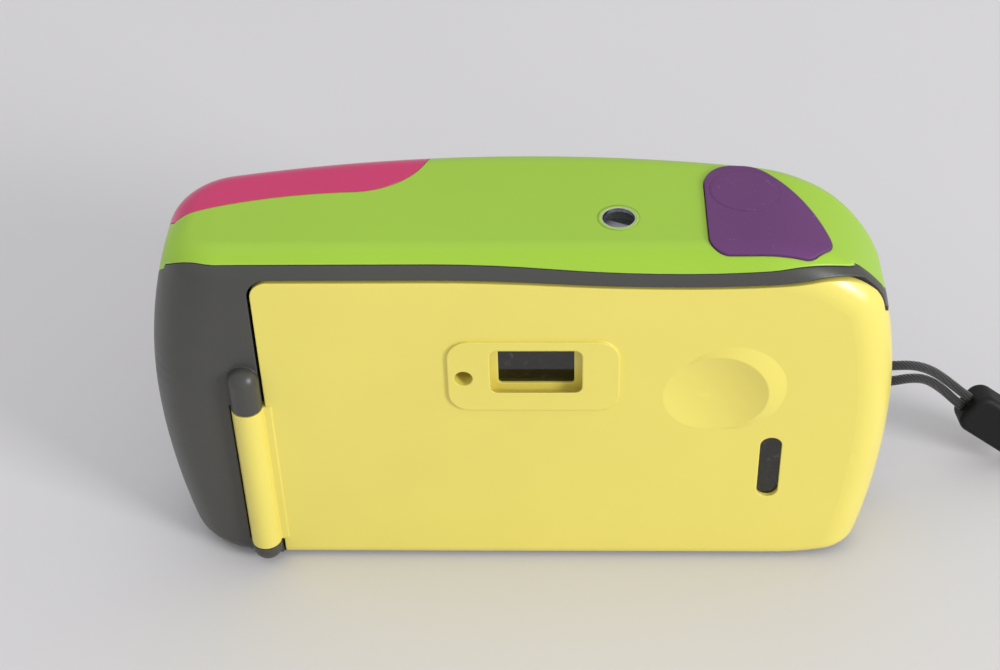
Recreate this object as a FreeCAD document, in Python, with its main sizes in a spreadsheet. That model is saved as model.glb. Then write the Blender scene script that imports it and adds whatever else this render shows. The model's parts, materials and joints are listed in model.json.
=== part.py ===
import FreeCAD, Part
import math
import os
import re
import Sketcher
from FreeCAD import Placement, Rotation, Vector

# A weatherproof compact camera for 35 mm film, in millimetres
# X points to the right seen from the back, Y towards the lens and Z up
# The origin is the mouth of the tripod socket in the base

SIZES = {
    # Outer case
    "case_left": 70.9,
    "case_right": 67.9,
    "body_height": 74.6,
    "waist_height": 36.0,
    "upper_bow": 106.0,
    "lower_bow": 155.0,
    "back_depth": 19.0,
    "front_depth": 17.3,
    "front_shoulder": 7.0,
    "case_wall": 2.0,
    "case_reach": 40.0,
    "rear_left_corner": 11.0,
    "rear_right_corner": 7.0,
    "front_left_corner": 13.0,
    "front_right_corner": 13.5,
    "top_round": 6.2,
    "base_round": 3.0,
    "top_flat_left": 55.0,
    "top_arc_left": 70.0,
    "top_flat_right": 41.5,
    "top_arc_right": 28.5,
    "base_flat": 48.0,
    "base_end_arc": 45.0,
    # Seams between the covers
    "seam_gap": 0.15,
    "cover_height": 2.1,
    "seam_dip": 1.5,
    "seam_dip_place": 29.0,
    "seam_wave": 262.0,
    "seam_wave_left": 360.0,
    "seam_fall_place": 47.8,
    "seam_fall": 22.0,
    "seam_left_place": 57.0,
    "seam_left_fall": 9.75,
    "seam_left_drop": 4.5,
    "seam_turn": 12.5,
    "seam_end_depth": 2.0,
    "seam_end_drop": 18.6,
    "seam_end_arc": 60.0,
    "seam_right_drop": 11.6,
    "seam_right_arc": 30.0,
    "band_right": 2.7,
    "seam_front_drop": 24.6,
    "front_seam": 7.0,
    "front_seam_drop": 12.6,
    # Flash cover
    "flash_side": 18.0,
    "flash_corner": 14.5,
    "flash_corner_side": 31.0,
    "flash_back": 1.8,
    "flash_sweep": 91.0,
    "flash_fall": 14.8,
    "flash_slant": 0.83,
    "flash_end_drop": 13.6,
    "flash_foot_drop": 25.6,
    "flash_window_left": 44.0,
    "flash_window_right": 22.0,
    "flash_window_drop": 8.6,
    "flash_window_tall": 13.5,
    "flash_window_corner": 3.0,
    "reflector_depth": 9.0,
    "tube_radius": 1.5,
    # Door
    "door_gap": 0.6,
    "band_height": 2.9,
    "door_fall_place": 52.0,
    "door_fall": 15.0,
    "door_left": 48.7,
    "door_foot": 1.2,
    "door_wrap": 14.5,
    "door_wrap_height": 44.0,
    "door_wrap_arc": 32.0,
    "door_corner": 3.0,
    "hinge_place": 52.1,
    "hinge_proud": 0.3,
    "hinge_radius": 2.95,
    "hinge_pin_radius": 1.0,
    "barrel_foot": 5.6,
    "barrel_top": 40.7,
    "upper_knuckle": 9.4,
    "lower_knuckle": 4.2,
    "knuckle_gap": 0.3,
    "recess_gap": 0.5,
    "running_fit": 0.04,
    # Eyepiece and lamp hole in the door
    "eyepiece_place": 1.8,
    "eyepiece_height": 49.5,
    "eyepiece_width": 14.0,
    "eyepiece_tall": 10.0,
    "plate_width": 31.3,
    "plate_tall": 16.4,
    "plate_proud": 0.5,
    "plate_corner": 4.0,
    "funnel_width": 20.0,
    "funnel_tall": 13.2,
    "funnel_depth": 2.2,
    "boss_depth": 1.7,
    "lamp_offset": 13.3,
    "lamp_drop": 1.6,
    "lamp_hole": 1.7,
    "glass_thick": 1.2,
    "glass_gap": 0.05,
    # Film window and thumb rest in the door
    "slot_place": 45.7,
    "slot_height": 25.0,
    "slot_width": 4.1,
    "slot_tall": 15.4,
    "thumb_height": 45.0,
    "ridge_place": 37.6,
    "ridge_radius": 10.0,
    "ridge_rise": 1.9,
    "dish_place": 33.0,
    "dish_drop": 1.8,
    "dish_radius": 8.0,
    "dish_depth": 1.0,
    # Film path
    "lens_place": 2.0,
    "lens_height": 26.0,
    "frame_width": 36.0,
    "frame_tall": 24.0,
    "light_exit": 20.0,
    "film_plane": 12.5,
    "rail_step": 0.6,
    "rail_width": 1.6,
    "rail_length": 34.0,
    "film_width": 35.0,
    "chassis_left": 48.4,
    "chassis_right": 60.2,
    "chassis_foot": 3.0,
    "chassis_drop": 10.6,
    "gate_left": 21.5,
    "gate_right": 26.0,
    "gate_drop": 6.5,
    "shelf_height": 50.0,
    "chassis_front": 9.6,
    "chassis_corner": 14.5,
    "chassis_round": 5.0,
    "chassis_shoulder": 10.0,
    "rim_proud": 3.2,
    "rim_wall": 1.0,
    "rim_left": 47.4,
    "rim_corner": 6.5,
    "rim_right": 59.9,
    "rim_foot": 3.5,
    "rim_drop": 16.2,
    "chamber_foot": 4.2,
    "chamber_top": 48.0,
    "cassette_place": 45.7,
    "cassette_radius": 12.5,
    "chamber_play": 0.7,
    "chamber_depth": 4.6,
    "spool_place": 36.6,
    "spool_chamber": 9.8,
    "spool_radius": 5.4,
    "spool_slot": 1.4,
    "sprocket_place": 21.5,
    "sprocket_depth": 8.7,
    "sprocket_root": 4.3,
    "tooth_count": 6,
    "tooth_tall": 1.1,
    "tooth_thick": 1.2,
    "perforation_offset": 15.5,
    "wheel_thick": 2.4,
    "shaft_radius": 1.8,
    "turning_gap": 0.4,
    "fork_radius": 2.3,
    "fork_flange": 3.7,
    "hub_radius": 5.5,
    "hub_rise": 5.5,
    "fork_tall": 4.4,
    "tunnel_gap": 0.3,
    "finder_rise": 0.3,
    "liner_thick": 0.8,
    "lip_wall": 1.0,
    "lip_gap": 0.45,
    "lip_tall": 2.6,
    "plate_left": 14.5,
    "plate_right": 26.0,
    "plate_foot": 9.6,
    "plate_top": 42.4,
    "plate_thick": 1.0,
    # Lens and front windows
    "housing_radius": 21.0,
    "housing_front": 25.0,
    "barrel_radius": 15.5,
    "barrel_wall": 2.0,
    "cell_fit": 0.1,
    "cell_front": 20.5,
    "cell_back": 12.0,
    "lens_radius": 7.0,
    "bezel_radius": 18.5,
    "window_radius": 14.5,
    "bezel_thick": 1.8,
    "panel_left": 14.0,
    "panel_right": 34.0,
    "panel_drop": 14.6,
    "panel_tall": 11.0,
    "panel_corner": 3.0,
    "focus_spacing": 11.0,
    "focus_place": 20.0,
    "focus_radius": 3.0,
    # Top controls
    "counter_place": 16.7,
    "counter_back": 6.4,
    "counter_radius": 3.1,
    "counter_wall": 0.5,
    "dial_radius": 7.0,
    "dial_offset": 4.6,
    "counter_deep": 5.0,
    "plunger_tall": 6.4,
    "plunger_radius": 1.6,
    "button_place": 39.7,
    "button_front": 1.3,
    "button_radius": 6.2,
    "button_gap": 0.15,
    "pad_left": 32.4,
    "pad_back": 16.2,
    "pad_front": 9.2,
    "pad_shoulder": 41.0,
    "pad_rear_end": 50.0,
    "pad_right": 54.6,
    "pad_right_back": 12.0,
    "pad_arc": 34.0,
    "pad_rise": 0.45,
    "pad_sunk": 3.3,
    # Base
    "tripod_bush_radius": 4.5,
    "tripod_thread_radius": 3.175,
    "tripod_depth": 5.5,
    "battery_lid_left": 65.5,
    "battery_lid_right": 48.5,
    "battery_lid_back": 13.25,
    "battery_lid_front": 4.25,
    "battery_place": 57.0,
    "battery_back": 4.5,
    "battery_radius": 8.5,
    "battery_length": 34.5,
    "battery_foot": 7.0,
    "lid_gap": 0.25,
    "lid_corner": 8.0,
    "lid_reach": 8.8,
    "lid_contact_radius": 3.2,
    "rewind_button_place": 30.0,
    "rewind_button_front": 2.0,
    "rewind_button_radius": 1.6,
    "screw_side": 40.0,
    "screw_front": 3.0,
    "screw_back": 10.0,
    "screw_head": 2.0,
    "screw_head_tall": 0.6,
    "screw_sunk": 1.2,
    "screw_shank": 0.9,
    "screw_length": 1.6,
    # Right end
    "latch_back": 1.0,
    "latch_slot_width": 5.0,
    "latch_height": 15.0,
    "latch_tall": 10.0,
    "latch_travel": 3.0,
    "latch_proud": 1.2,
    "hook_width": 2.6,
    "hook_clear": 0.3,
    "lug_depth": 4.3,
    "lug_proud": 1.2,
    "lug_turn": 24.0,
    "lug_place": 2.0,
    "lug_width": 8.4,
    "lug_height": 29.5,
    "lug_tall": 11.6,
    "lug_wall": 0.9,
    "lug_bar_place": 66.2,
    "lug_bar_radius": 1.1,
    "cord_diameter": 1.9,
    "strand_spacing": 2.3,
    "loop_spacing": 4.0,
    "slider_length": 18.0,
    "slider_width": 9.0,
    "slider_thick": 6.4,
    # Small front and back pieces
    "flash_mouth": 9.8,
    "sensor_place": 27.0,
    "sensor_height": 42.0,
    "sensor_radius": 2.2,
    "timer_place": 35.0,
    "timer_radius": 1.6,
    "lamp_radius": 1.5,
    "lamp_tall": 4.8,
}


# Levels that hang from the top of the case
LEVELS = {
    "seam_height": "(body_height - cover_height)",
    "seam_end_height": "(body_height - seam_end_drop)",
    "seam_left_height": "(body_height - cover_height - seam_left_drop)",
    "seam_right_height": "(body_height - seam_right_drop)",
    "seam_front_height": "(body_height - seam_front_drop)",
    "front_top_seam": "(body_height - front_seam_drop)",
    "flash_end_height": "(body_height - flash_end_drop)",
    "flash_foot": "(body_height - flash_foot_drop)",
    "flash_window_top": "(body_height - flash_window_drop)",
    "flash_window_foot": "(body_height - flash_window_drop - flash_window_tall)",
    "chassis_top": "(body_height - chassis_drop)",
    "rim_top": "(body_height - rim_drop)",
    "panel_top": "(body_height - panel_drop)",
    "panel_foot": "(body_height - panel_drop - panel_tall)",
    "gate_top": "(eyepiece_height - gate_drop)",
}


def start():
    document = FreeCAD.newDocument("CompactCamera")
    cells = document.addObject("Spreadsheet::Sheet", "Sizes")
    for row, (alias, number) in enumerate(SIZES.items(), start=1):
        cells.set(f"A{row}", alias)
        cells.set(f"B{row}", str(number))
        cells.setAlias(f"B{row}", alias)
    document.recompute()
    return document, cells


doc, sheet = start()
WORDS = re.compile(r"\b(" + "|".join(sorted(SIZES, key=len, reverse=True)) + r")\b")
LEVEL_WORDS = re.compile(r"\b(" + "|".join(LEVELS) + r")\b")
pieces = {}


def spelled(text):
    return LEVEL_WORDS.sub(lambda match: LEVELS[match.group(1)], str(text))


def value(text):
    return float(sheet.evalExpression(spelled(text)))


def bound(text):
    return WORDS.sub(r"Sizes.\1", spelled(text))


def bind(item, field, text):
    item.setExpression(field, bound(text))


# Sketches: a loop is a list of corners, and a corner may start an arc to the next one

def corner_point(corner):
    return Vector(value(corner[0]), value(corner[1]), 0)


def arc_middle(first, last, radius, side):
    chord = last - first
    half = chord.Length / 2
    rise = radius - math.sqrt(max(radius * radius - half * half, 0.0))
    left = Vector(-chord.y, chord.x, 0).normalize()
    return (first + last) * 0.5 + left * (rise if side == "left" else -rise)


def fix_point(sketch, geometry, end, corner):
    for kind, text in (("DistanceX", corner[0]), ("DistanceY", corner[1])):
        index = sketch.addConstraint(Sketcher.Constraint(kind, -1, 1, geometry, end, value(text)))
        bind(sketch, f"Constraints[{index}]", text)


def add_circle(sketch, loop):
    centre_x, centre_y, radius = loop[1:]
    circle = Part.Circle(Vector(value(centre_x), value(centre_y), 0), Vector(0, 0, 1), value(radius))
    index = sketch.addGeometry(circle)
    fix_point(sketch, index, 3, (centre_x, centre_y))
    size = sketch.addConstraint(Sketcher.Constraint("Radius", index, value(radius)))
    bind(sketch, f"Constraints[{size}]", radius)


def add_outline(sketch, loop):
    first = sketch.GeometryCount
    count = len(loop)
    starts = []
    for place, corner in enumerate(loop):
        here = corner_point(corner)
        there = corner_point(loop[(place + 1) % count])
        if len(corner) == 2:
            sketch.addGeometry(Part.LineSegment(here, there))
            starts.append((1, 2))
        else:
            middle = arc_middle(here, there, value(corner[2]), corner[3])
            index = sketch.addGeometry(Part.Arc(here, middle, there))
            begins = sketch.getPoint(index, 1)
            starts.append((1, 2) if (begins - here).Length < 1e-6 else (2, 1))
    for place, corner in enumerate(loop):
        after = (place + 1) % count
        link = (first + place, starts[place][1], first + after, starts[after][0])
        sketch.addConstraint(Sketcher.Constraint("Coincident", *link))
    for place, corner in enumerate(loop):
        fix_point(sketch, first + place, starts[place][0], corner)
    for place, corner in enumerate(loop):
        if len(corner) == 4:
            size = Sketcher.Constraint("Radius", first + place, value(corner[2]))
            index = sketch.addConstraint(size)
            bind(sketch, f"Constraints[{index}]", corner[2])


def add_sketch(body, name, plane, loops, level):
    sketch = body.newObject("Sketcher::SketchObject", name)
    base = [item for item in body.Origin.OriginFeatures if item.Role == plane][0]
    sketch.AttachmentSupport = [(base, "")]
    sketch.MapMode = "FlatFace"
    bind(sketch, "AttachmentOffset.Base.z", level)
    for loop in loops:
        if loop[0] == "circle":
            add_circle(sketch, loop)
        else:
            add_outline(sketch, loop)
    return sketch


def new_body(name):
    return doc.addObject("PartDesign::Body", name)


def block(body, name, plane, loops, low, high, cut=False, taper=None):
    # A block from one level to another along the axis that its plane faces
    if plane == "XZ_Plane":
        low, high = f"-({high})", f"-({low})"
    sketch = add_sketch(body, name + "Outline", plane, loops, high if cut else low)
    item = body.newObject("PartDesign::Pocket" if cut else "PartDesign::Pad", name)
    item.Profile = sketch
    bind(item, "Length", f"{high} - ({low})")
    if taper is not None:
        bind(item, "TaperAngle", taper)
    return item


def turned(body, name, rows, cut=False):
    # A round piece about the Z axis, from its half outline of radius and height
    sketch = add_sketch(body, name + "Outline", "XZ_Plane", [rows], "0")
    item = body.newObject("PartDesign::Groove" if cut else "PartDesign::Revolution", name)
    item.Profile = sketch
    item.ReferenceAxis = (sketch, ["V_Axis"])
    item.Angle = 360
    return item


def soften(body, name, radius, test):
    doc.recompute()
    base = body.Tip
    edges = enumerate(base.Shape.Edges, start=1)
    chosen = [f"Edge{number}" for number, edge in edges if test(edge)]
    if not chosen:
        raise ValueError(f"no edges found for {name}")
    item = body.newObject("PartDesign::Fillet", name)
    item.Base = (base, chosen)
    bind(item, "Radius", radius)
    return item


def near(number, other, within=0.01):
    return abs(number - other) < within


def upright(edge, x=None, y=None):
    box = edge.BoundBox
    thin = box.XLength < 0.01 and box.YLength < 0.01 and box.ZLength > 0.1
    fits_x = x is None or near(box.Center.x, value(x), 0.05)
    fits_y = y is None or near(box.Center.y, value(y), 0.05)
    return thin and fits_x and fits_y


def lengthwise(edge):
    # Edges that run along Y
    box = edge.BoundBox
    return box.XLength < 0.01 and box.ZLength < 0.01 and box.YLength > 0.1


def rectangle(left, right, low, high):
    return [(left, low), (right, low), (right, high), (left, high)]


def rounded(left, right, low, high, radius):
    # A rectangle with round corners, anticlockwise from the foot of its left side
    return [
        (f"{left} + {radius}", low),
        (f"{right} - {radius}", low, radius, "right"),
        (right, f"{low} + {radius}"),
        (right, f"{high} - {radius}", radius, "right"),
        (f"{right} - {radius}", high),
        (f"{left} + {radius}", high, radius, "right"),
        (left, f"{high} - {radius}"),
        (left, f"{low} + {radius}", radius, "right"),
    ]


def about(centre, size):
    return f"{centre} - ({size}) / 2", f"{centre} + ({size}) / 2"


def joined(kind, name, first, others):
    item = doc.addObject(f"Part::{kind}", name)
    item.Base = first
    if len(others) == 1:
        item.Tool = others[0]
    else:
        group = doc.addObject("Part::MultiFuse", name + "Tools")
        group.Shapes = others
        item.Tool = group
    return item


def keep(label, item):
    item.Label = label
    pieces[label] = item
    return item


# Outer case: a plan outline, drawn up, cut by the elevation and softened round both rims

def case_form(name, inset):
    body = new_body(name)
    right = f"(case_right - {inset})"
    left = f"(case_left - {inset})"
    back = f"-(back_depth - {inset})"
    shoulder = f"(front_shoulder - {inset})"
    high = "body_height + 14"
    low = "-12"
    up = f"(upper_bow - {inset})"
    down = f"(lower_bow - {inset})"
    lean_high = f"({up} - sqrt({up} ^ 2 - ({high} - waist_height) ^ 2))"
    lean_low = f"({down} - sqrt({down} ^ 2 - (waist_height - ({low})) ^ 2))"
    ends = [
        (f"{right} - {lean_low}", low, down, "right"),
        (right, "waist_height", up, "right"),
        (f"{right} - {lean_high}", high),
        (f"-{left} + {lean_high}", high, up, "right"),
        (f"-{left}", "waist_height", down, "right"),
        (f"-{left} + {lean_low}", low),
    ]
    block(body, name + "Ends", "XZ_Plane", [ends], back, "front_depth + 4")
    half = f"((case_left + case_right) / 2 - {inset})"
    middle = "(case_right - case_left) / 2"
    bow = "(front_depth - front_shoulder)"
    reach = f"({half} ^ 2 + {bow} ^ 2) / (2 * {bow})"
    front = [
        (f"{middle} + {half}", shoulder, reach, "right"),
        (f"{middle} - {half}", shoulder),
        (f"{middle} - {half} - 10", shoulder),
        (f"{middle} - {half} - 10", "front_depth + 20"),
        (f"{middle} + {half} + 10", "front_depth + 20"),
        (f"{middle} + {half} + 10", shoulder),
    ]
    block(body, name + "Front", "XY_Plane", [front], "-20", "body_height + 20", cut=True)
    rear = value(back)
    for side, sign in (("left", -1), ("right", 1)):
        def at_rear(edge, sign=sign):
            flat = near(edge.BoundBox.YMin, rear, 0.05) and edge.BoundBox.YLength < 0.01
            return flat and edge.BoundBox.ZLength > 5 and edge.BoundBox.Center.x * sign > 10

        def at_front(edge, sign=sign):
            ahead = edge.BoundBox.YMin > 0 and edge.BoundBox.ZLength > 5
            return ahead and edge.BoundBox.Center.x * sign > 10

        soften(body, f"{name}Rear{side}", f"rear_{side}_corner - {inset}", at_rear)
        soften(body, f"{name}Front{side}", f"front_{side}_corner - {inset}", at_front)
    out = "(case_left + 5)"
    top = f"(body_height - {inset})"
    left_arc = f"(top_arc_left - {inset})"
    left_fall = f"({left_arc} - sqrt({left_arc} ^ 2 - ({out} - top_flat_left) ^ 2))"
    end_arc = f"(top_arc_right - {inset})"
    end_fall = f"({end_arc} - sqrt({end_arc} ^ 2 - ({right} - top_flat_right) ^ 2))"
    above = [
        (f"-{out}", f"{top} - {left_fall}", left_arc, "left"),
        ("-top_flat_left", top),
        ("top_flat_right", top, end_arc, "left"),
        (right, f"{top} - {end_fall}"),
        (out, f"{top} - {end_fall}"),
        (out, "body_height + 20"),
        (f"-{out}", "body_height + 20"),
    ]
    block(body, name + "Crown", "XZ_Plane", [above], "-case_reach", "case_reach", cut=True)
    low_run = f"({out} - base_flat)"
    low_arc = f"(base_end_arc - {inset})"
    high_foot = f"({inset} + {low_arc} - sqrt({low_arc} ^ 2 - {low_run} ^ 2))"
    below = [
        (f"-{out}", "-20"),
        (out, "-20"),
        (out, high_foot, low_arc, "left"),
        ("base_flat", inset),
        ("-base_flat", inset, low_arc, "left"),
        (f"-{out}", high_foot),
    ]
    block(body, name + "Keel", "XZ_Plane", [below], "-case_reach", "case_reach", cut=True)
    doc.recompute()
    upper = value("waist_height + 2")
    lower = value("waist_height - 2")
    soften(body, name + "TopRim", f"top_round - {inset}", lambda e: e.BoundBox.ZMin > upper and on_rim(e))
    soften(
        body, name + "BaseRim", f"base_round - {inset}", lambda e: e.BoundBox.ZMax < lower and on_rim(e),
    )
    return body


def on_rim(edge):
    # The rims run round the side walls, and the creases across the crown and the keel run along Y
    box = edge.BoundBox
    crease = box.XLength < 0.01 and box.YLength > 12
    return not crease and not upright(edge)


# Regions: each cover is the part of the shell inside its region

def seam_wave(level, place, fall):
    # The wavy edge above the door, from the right end's fall over the dip to the left
    reach = f"(seam_wave + {fall})"
    lift = f"sqrt({reach} ^ 2 - ({place} - seam_dip_place) ^ 2)"
    centre = f"({level} - seam_dip + seam_wave)"
    run = "sqrt(seam_wave_left * seam_dip - seam_dip ^ 2 / 4)"
    return [
        (f"{place} + {fall}", f"{centre} - {lift}", fall, "right"),
        (
            f"seam_dip_place + ({place} - seam_dip_place) * seam_wave / {reach}",
            f"{centre} - {lift} * seam_wave / {reach}",
            "seam_wave",
            "left",
        ),
        ("seam_dip_place", f"{level} - seam_dip", "seam_wave_left", "left"),
        (f"seam_dip_place - {run}", f"{level} - seam_dip / 2", "seam_wave_left", "right"),
        (f"seam_dip_place - 2 * {run}", level),
    ]


def door_region(name, grow):
    body = new_body(name)
    left = f"-(door_left + {grow})"
    far = "case_right + 10"
    level = f"seam_height - band_height + {grow}"
    wave = seam_wave(level, "door_fall_place", f"(door_fall + {grow})")
    face = [(left, "-20"), (far, "-20"), (far, wave[0][1])] + wave + [(left, level)]
    block(body, name + "Face", "XZ_Plane", [face], "-(back_depth + 10)", "5")
    corner = (value(left), value(level))
    soften(body, name + "Corner", f"door_corner + {grow}", lambda e: at_corner(e, *corner))
    edge = f"-(back_depth - door_wrap) + {grow}"
    turn = f"-(seam_turn + band_right) + {grow}"
    upper = f"seam_right_height - band_right + {grow}"
    wrap = [
        (edge, "-30"),
        ("40", "-30"),
        ("40", "body_height + 30"),
        (turn, "body_height + 30"),
        (turn, upper, "door_wrap_arc", "left"),
        (edge, f"door_wrap_height + {grow}"),
    ]
    block(body, name + "Wrap", "YZ_Plane", [wrap], "-2 * case_left", "2 * case_left", cut=True)
    rise = "(base_round - door_foot)"
    lean = f"sqrt(base_round ^ 2 - {rise} ^ 2)"
    foot = [
        ("40", "-40"),
        ("40", f"base_round - {grow}"),
        ("base_round - back_depth", f"base_round - {grow}"),
        (f"base_round - back_depth - 6 * {lean}", f"base_round - 6 * {rise} - {grow}"),
        (f"base_round - back_depth - 6 * {lean}", "-40"),
    ]
    block(body, name + "Foot", "YZ_Plane", [foot], "-2 * case_left", "2 * case_left", cut=True)
    return body


def at_corner(edge, x, z):
    centre = edge.BoundBox.Center
    return lengthwise(edge) and near(centre.x, x, 0.05) and near(centre.z, z, 0.05)


def top_region(name, grow):
    body = new_body(name)
    far = "case_right + 10"
    level = f"seam_height + {grow}"
    high = "body_height + 20"
    wave = seam_wave(level, "seam_fall_place", f"(seam_fall + {grow})")
    left_level = f"(seam_left_height + {grow})"
    left_arc = f"(seam_left_fall + {grow})"
    left_run = f"sqrt({left_arc} ^ 2 - ({left_level} - seam_height + seam_left_fall) ^ 2)"
    left_end = [
        ("-seam_left_place", level, left_arc, "right"),
        (f"-seam_left_place - {left_run}", left_level),
        (f"-({far})", left_level),
    ]
    rear = wave + left_end + [(f"-({far})", high), (far, high), (far, wave[0][1])]
    block(body, name + "Rear", "XZ_Plane", [rear], "-(back_depth + 10)", "-seam_turn")
    ends = (
        ("Left", left_level, "seam_end_arc", "0.01", f"-({far})", "seam_dip_place"),
        ("Right", f"(seam_right_height + {grow})", "seam_right_arc", "0.01", "seam_dip_place", far),
    )
    for end, start_level, arc, lap, first, last in ends:
        side = [
            (f"-seam_turn - {lap}", start_level),
            ("-seam_turn", start_level, arc, "left"),
            (f"{grow} - seam_end_depth", "seam_end_height"),
            ("front_seam", f"seam_front_height + {grow}"),
            ("front_seam", f"front_top_seam + {grow}"),
            ("front_depth + 20", f"front_top_seam + {grow}"),
            ("front_depth + 20", high),
            (f"-seam_turn - {lap}", high),
        ]
        block(body, name + end, "YZ_Plane", [side], first, last)
    return body


def flash_region(name, grow):
    body = new_body(name)
    far = "case_right + 10"
    plan = [
        (f"-flash_side + {grow}", "front_depth + 20"),
        (f"-({far})", "front_depth + 20"),
        (f"-({far})", f"flash_back - flash_fall - {grow}", "flash_sweep", "left"),
        ("-flash_corner_side", f"flash_back - {grow}", f"flash_corner + {grow}", "right"),
        (f"-flash_side + {grow}", "flash_back + 12"),
    ]
    block(body, name + "Plan", "XY_Plane", [plan], "body_height / 3", "body_height + 20")
    slant = [
        ("-50", "0"),
        ("60", "0"),
        ("60", f"flash_foot - {grow}"),
        ("12", f"flash_foot - {grow}"),
        ("9", f"flash_end_height - {grow}"),
        ("-50", f"flash_end_height + 59 * flash_slant - {grow}"),
    ]
    block(body, name + "Slant", "YZ_Plane", [slant], "-2 * case_left", "2 * case_left", cut=True)
    return body


def front_region(name, grow):
    body = new_body(name)
    far = "case_right + 10"
    face = rectangle(f"-({far})", far, "-20", f"front_top_seam - {grow}")
    block(body, name + "Face", "XZ_Plane", [face], f"front_seam + {grow}", "front_depth + 20")
    return body


def window_region(name, left, right, low, high, corner, grow):
    body = new_body(name)
    sides = (f"{left} - {grow}", f"{right} + {grow}", f"{low} - {grow}", f"{high} + {grow}")
    block(
        body,
        name + "Face",
        "XZ_Plane",
        [rounded(*sides, f"({corner} + {grow})")],
        "0",
        "front_depth + 20",
    )
    return body


def along_y(name, x, z, radius, low, high, inner=None):
    # A rod or a tube that lies along Y
    body = new_body(name)
    loops = [("circle", x, z, radius)]
    if inner is not None:
        loops.append(("circle", x, z, inner))
    block(body, name + "Rod", "XZ_Plane", loops, low, high)
    return body


def along_z(name, x, y, radius, low, high, inner=None):
    body = new_body(name)
    loops = [("circle", x, y, radius)]
    if inner is not None:
        loops.append(("circle", x, y, inner))
    block(body, name + "Rod", "XY_Plane", loops, low, high)
    return body


def box(name, x, y, z):
    body = new_body(name)
    block(body, name + "Block", "XY_Plane", [rectangle(x[0], x[1], y[0], y[1])], z[0], z[1])
    return body


def place(body, x, y, z, rotation=None):
    if rotation is not None:
        body.Placement = Placement(Vector(), rotation)
    bind(body, "Placement.Base.x", x)
    bind(body, "Placement.Base.y", y)
    bind(body, "Placement.Base.z", z)
    return body


TO_BACK = Rotation(Vector(1, 0, 0), 90)
TO_FRONT = Rotation(Vector(1, 0, 0), -90)
DOWN = Rotation(Vector(1, 0, 0), 180)


# Shell and covers

outer = case_form("CaseOuter", "0")
inner = case_form("CaseInner", "case_wall")
shell = joined("Cut", "CaseShell", outer, [inner])

hinge_y = "-(back_depth + hinge_proud)"
hinge_x = "-hinge_place"
finder = ("eyepiece_place", "eyepiece_height")


def make_door():
    skin = joined("Common", "DoorSkin", shell, [door_region("DoorRegion", "0")])
    barrel = along_z("DoorBarrel", hinge_x, hinge_y, "hinge_radius", "barrel_foot", "barrel_top")
    web = box(
        "DoorWeb",
        (hinge_x, "-door_left + 1"),
        (hinge_y, "-(back_depth - case_wall + 0.6)"),
        ("barrel_foot", "barrel_top"),
    )
    plate = new_body("EyepiecePlate")
    wide = about("(eyepiece_place - 0.5)", "plate_width")
    tall = about("(eyepiece_height - 1.2)", "plate_tall")
    block(
        plate,
        "PlateBlock",
        "XZ_Plane",
        [rounded(*wide, *tall, "plate_corner")],
        "-(back_depth + plate_proud)",
        "-(back_depth - case_wall - boss_depth)",
    )
    ridge = cap("ThumbRidge", "ridge_radius", "ridge_rise")
    place(ridge, "ridge_place", "-back_depth", "thumb_height", TO_BACK)
    whole = joined("Fuse", "DoorWhole", skin, [barrel, web, plate, ridge])
    funnel = new_body("EyepieceFunnel")
    outline = rounded(*about(finder[0], "funnel_width"), *about(finder[1], "funnel_tall"), "3")
    slope = "atan((funnel_tall - eyepiece_tall) / 2 / (funnel_depth + plate_proud))"
    block(
        funnel,
        "FunnelBlock",
        "XZ_Plane",
        [outline],
        "-(back_depth + plate_proud)",
        "-(back_depth - funnel_depth)",
        taper=f"-({slope})",
    )
    hole = window(
        "EyepieceHole", finder, "eyepiece_width", "eyepiece_tall", "0.6", "-(back_depth + 5)", "0",
    )
    seat = window(
        "EyepieceSeat",
        finder,
        "eyepiece_width + 2",
        "eyepiece_tall + 2",
        "1",
        "-(back_depth - funnel_depth - 0.6)",
        "0",
    )
    lamp = along_y(
        "LampHole",
        "eyepiece_place - lamp_offset",
        "eyepiece_height - lamp_drop",
        "lamp_hole",
        "-(back_depth + 5)",
        "0",
    )
    slot = window(
        "FilmSlot",
        ("slot_place", "slot_height"),
        "slot_width",
        "slot_tall",
        "(slot_width / 2 - 0.05)",
        "-(back_depth + 5)",
        "0",
    )
    dish = ball_cap("ThumbDish", "dish_radius", "dish_depth")
    place(dish, "dish_place", "-back_depth", "thumb_height - dish_drop", TO_BACK)
    bore = along_z("BarrelBore", hinge_x, hinge_y, "hinge_pin_radius + running_fit", "0", "body_height")
    return keep(
        "film_door", joined("Cut", "FilmDoor", whole, [funnel, hole, seat, lamp, slot, dish, bore]),
    )


def window(name, centre, width, tall, corner, low, high):
    body = new_body(name)
    outline = rounded(*about(centre[0], width), *about(centre[1], tall), corner)
    block(body, name + "Block", "XZ_Plane", [outline], low, high)
    return body


def cap(name, radius, rise):
    # A shallow dome on a flat foot
    body = new_body(name)
    ball = f"(({radius} ^ 2 + {rise} ^ 2) / (2 * {rise}))"
    rows = [("0", "-1"), (radius, "-1"), (radius, "0", ball, "right"), ("0", rise)]
    turned(body, name + "Dome", rows)
    return body


def ball_cap(name, radius, depth):
    # The cutter for a dish: a ball segment that goes on above the rim
    body = new_body(name)
    ball = f"(({radius} ^ 2 + {depth} ^ 2) / (2 * {depth}))"
    above = f"(4 * {depth})"
    wide = f"sqrt({ball} ^ 2 - ({ball} - {depth} - {above}) ^ 2)"
    rows = [("0", f"-{depth}", ball, "right"), (wide, above), ("0", above)]
    turned(body, name + "Bowl", rows)
    return body


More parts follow.
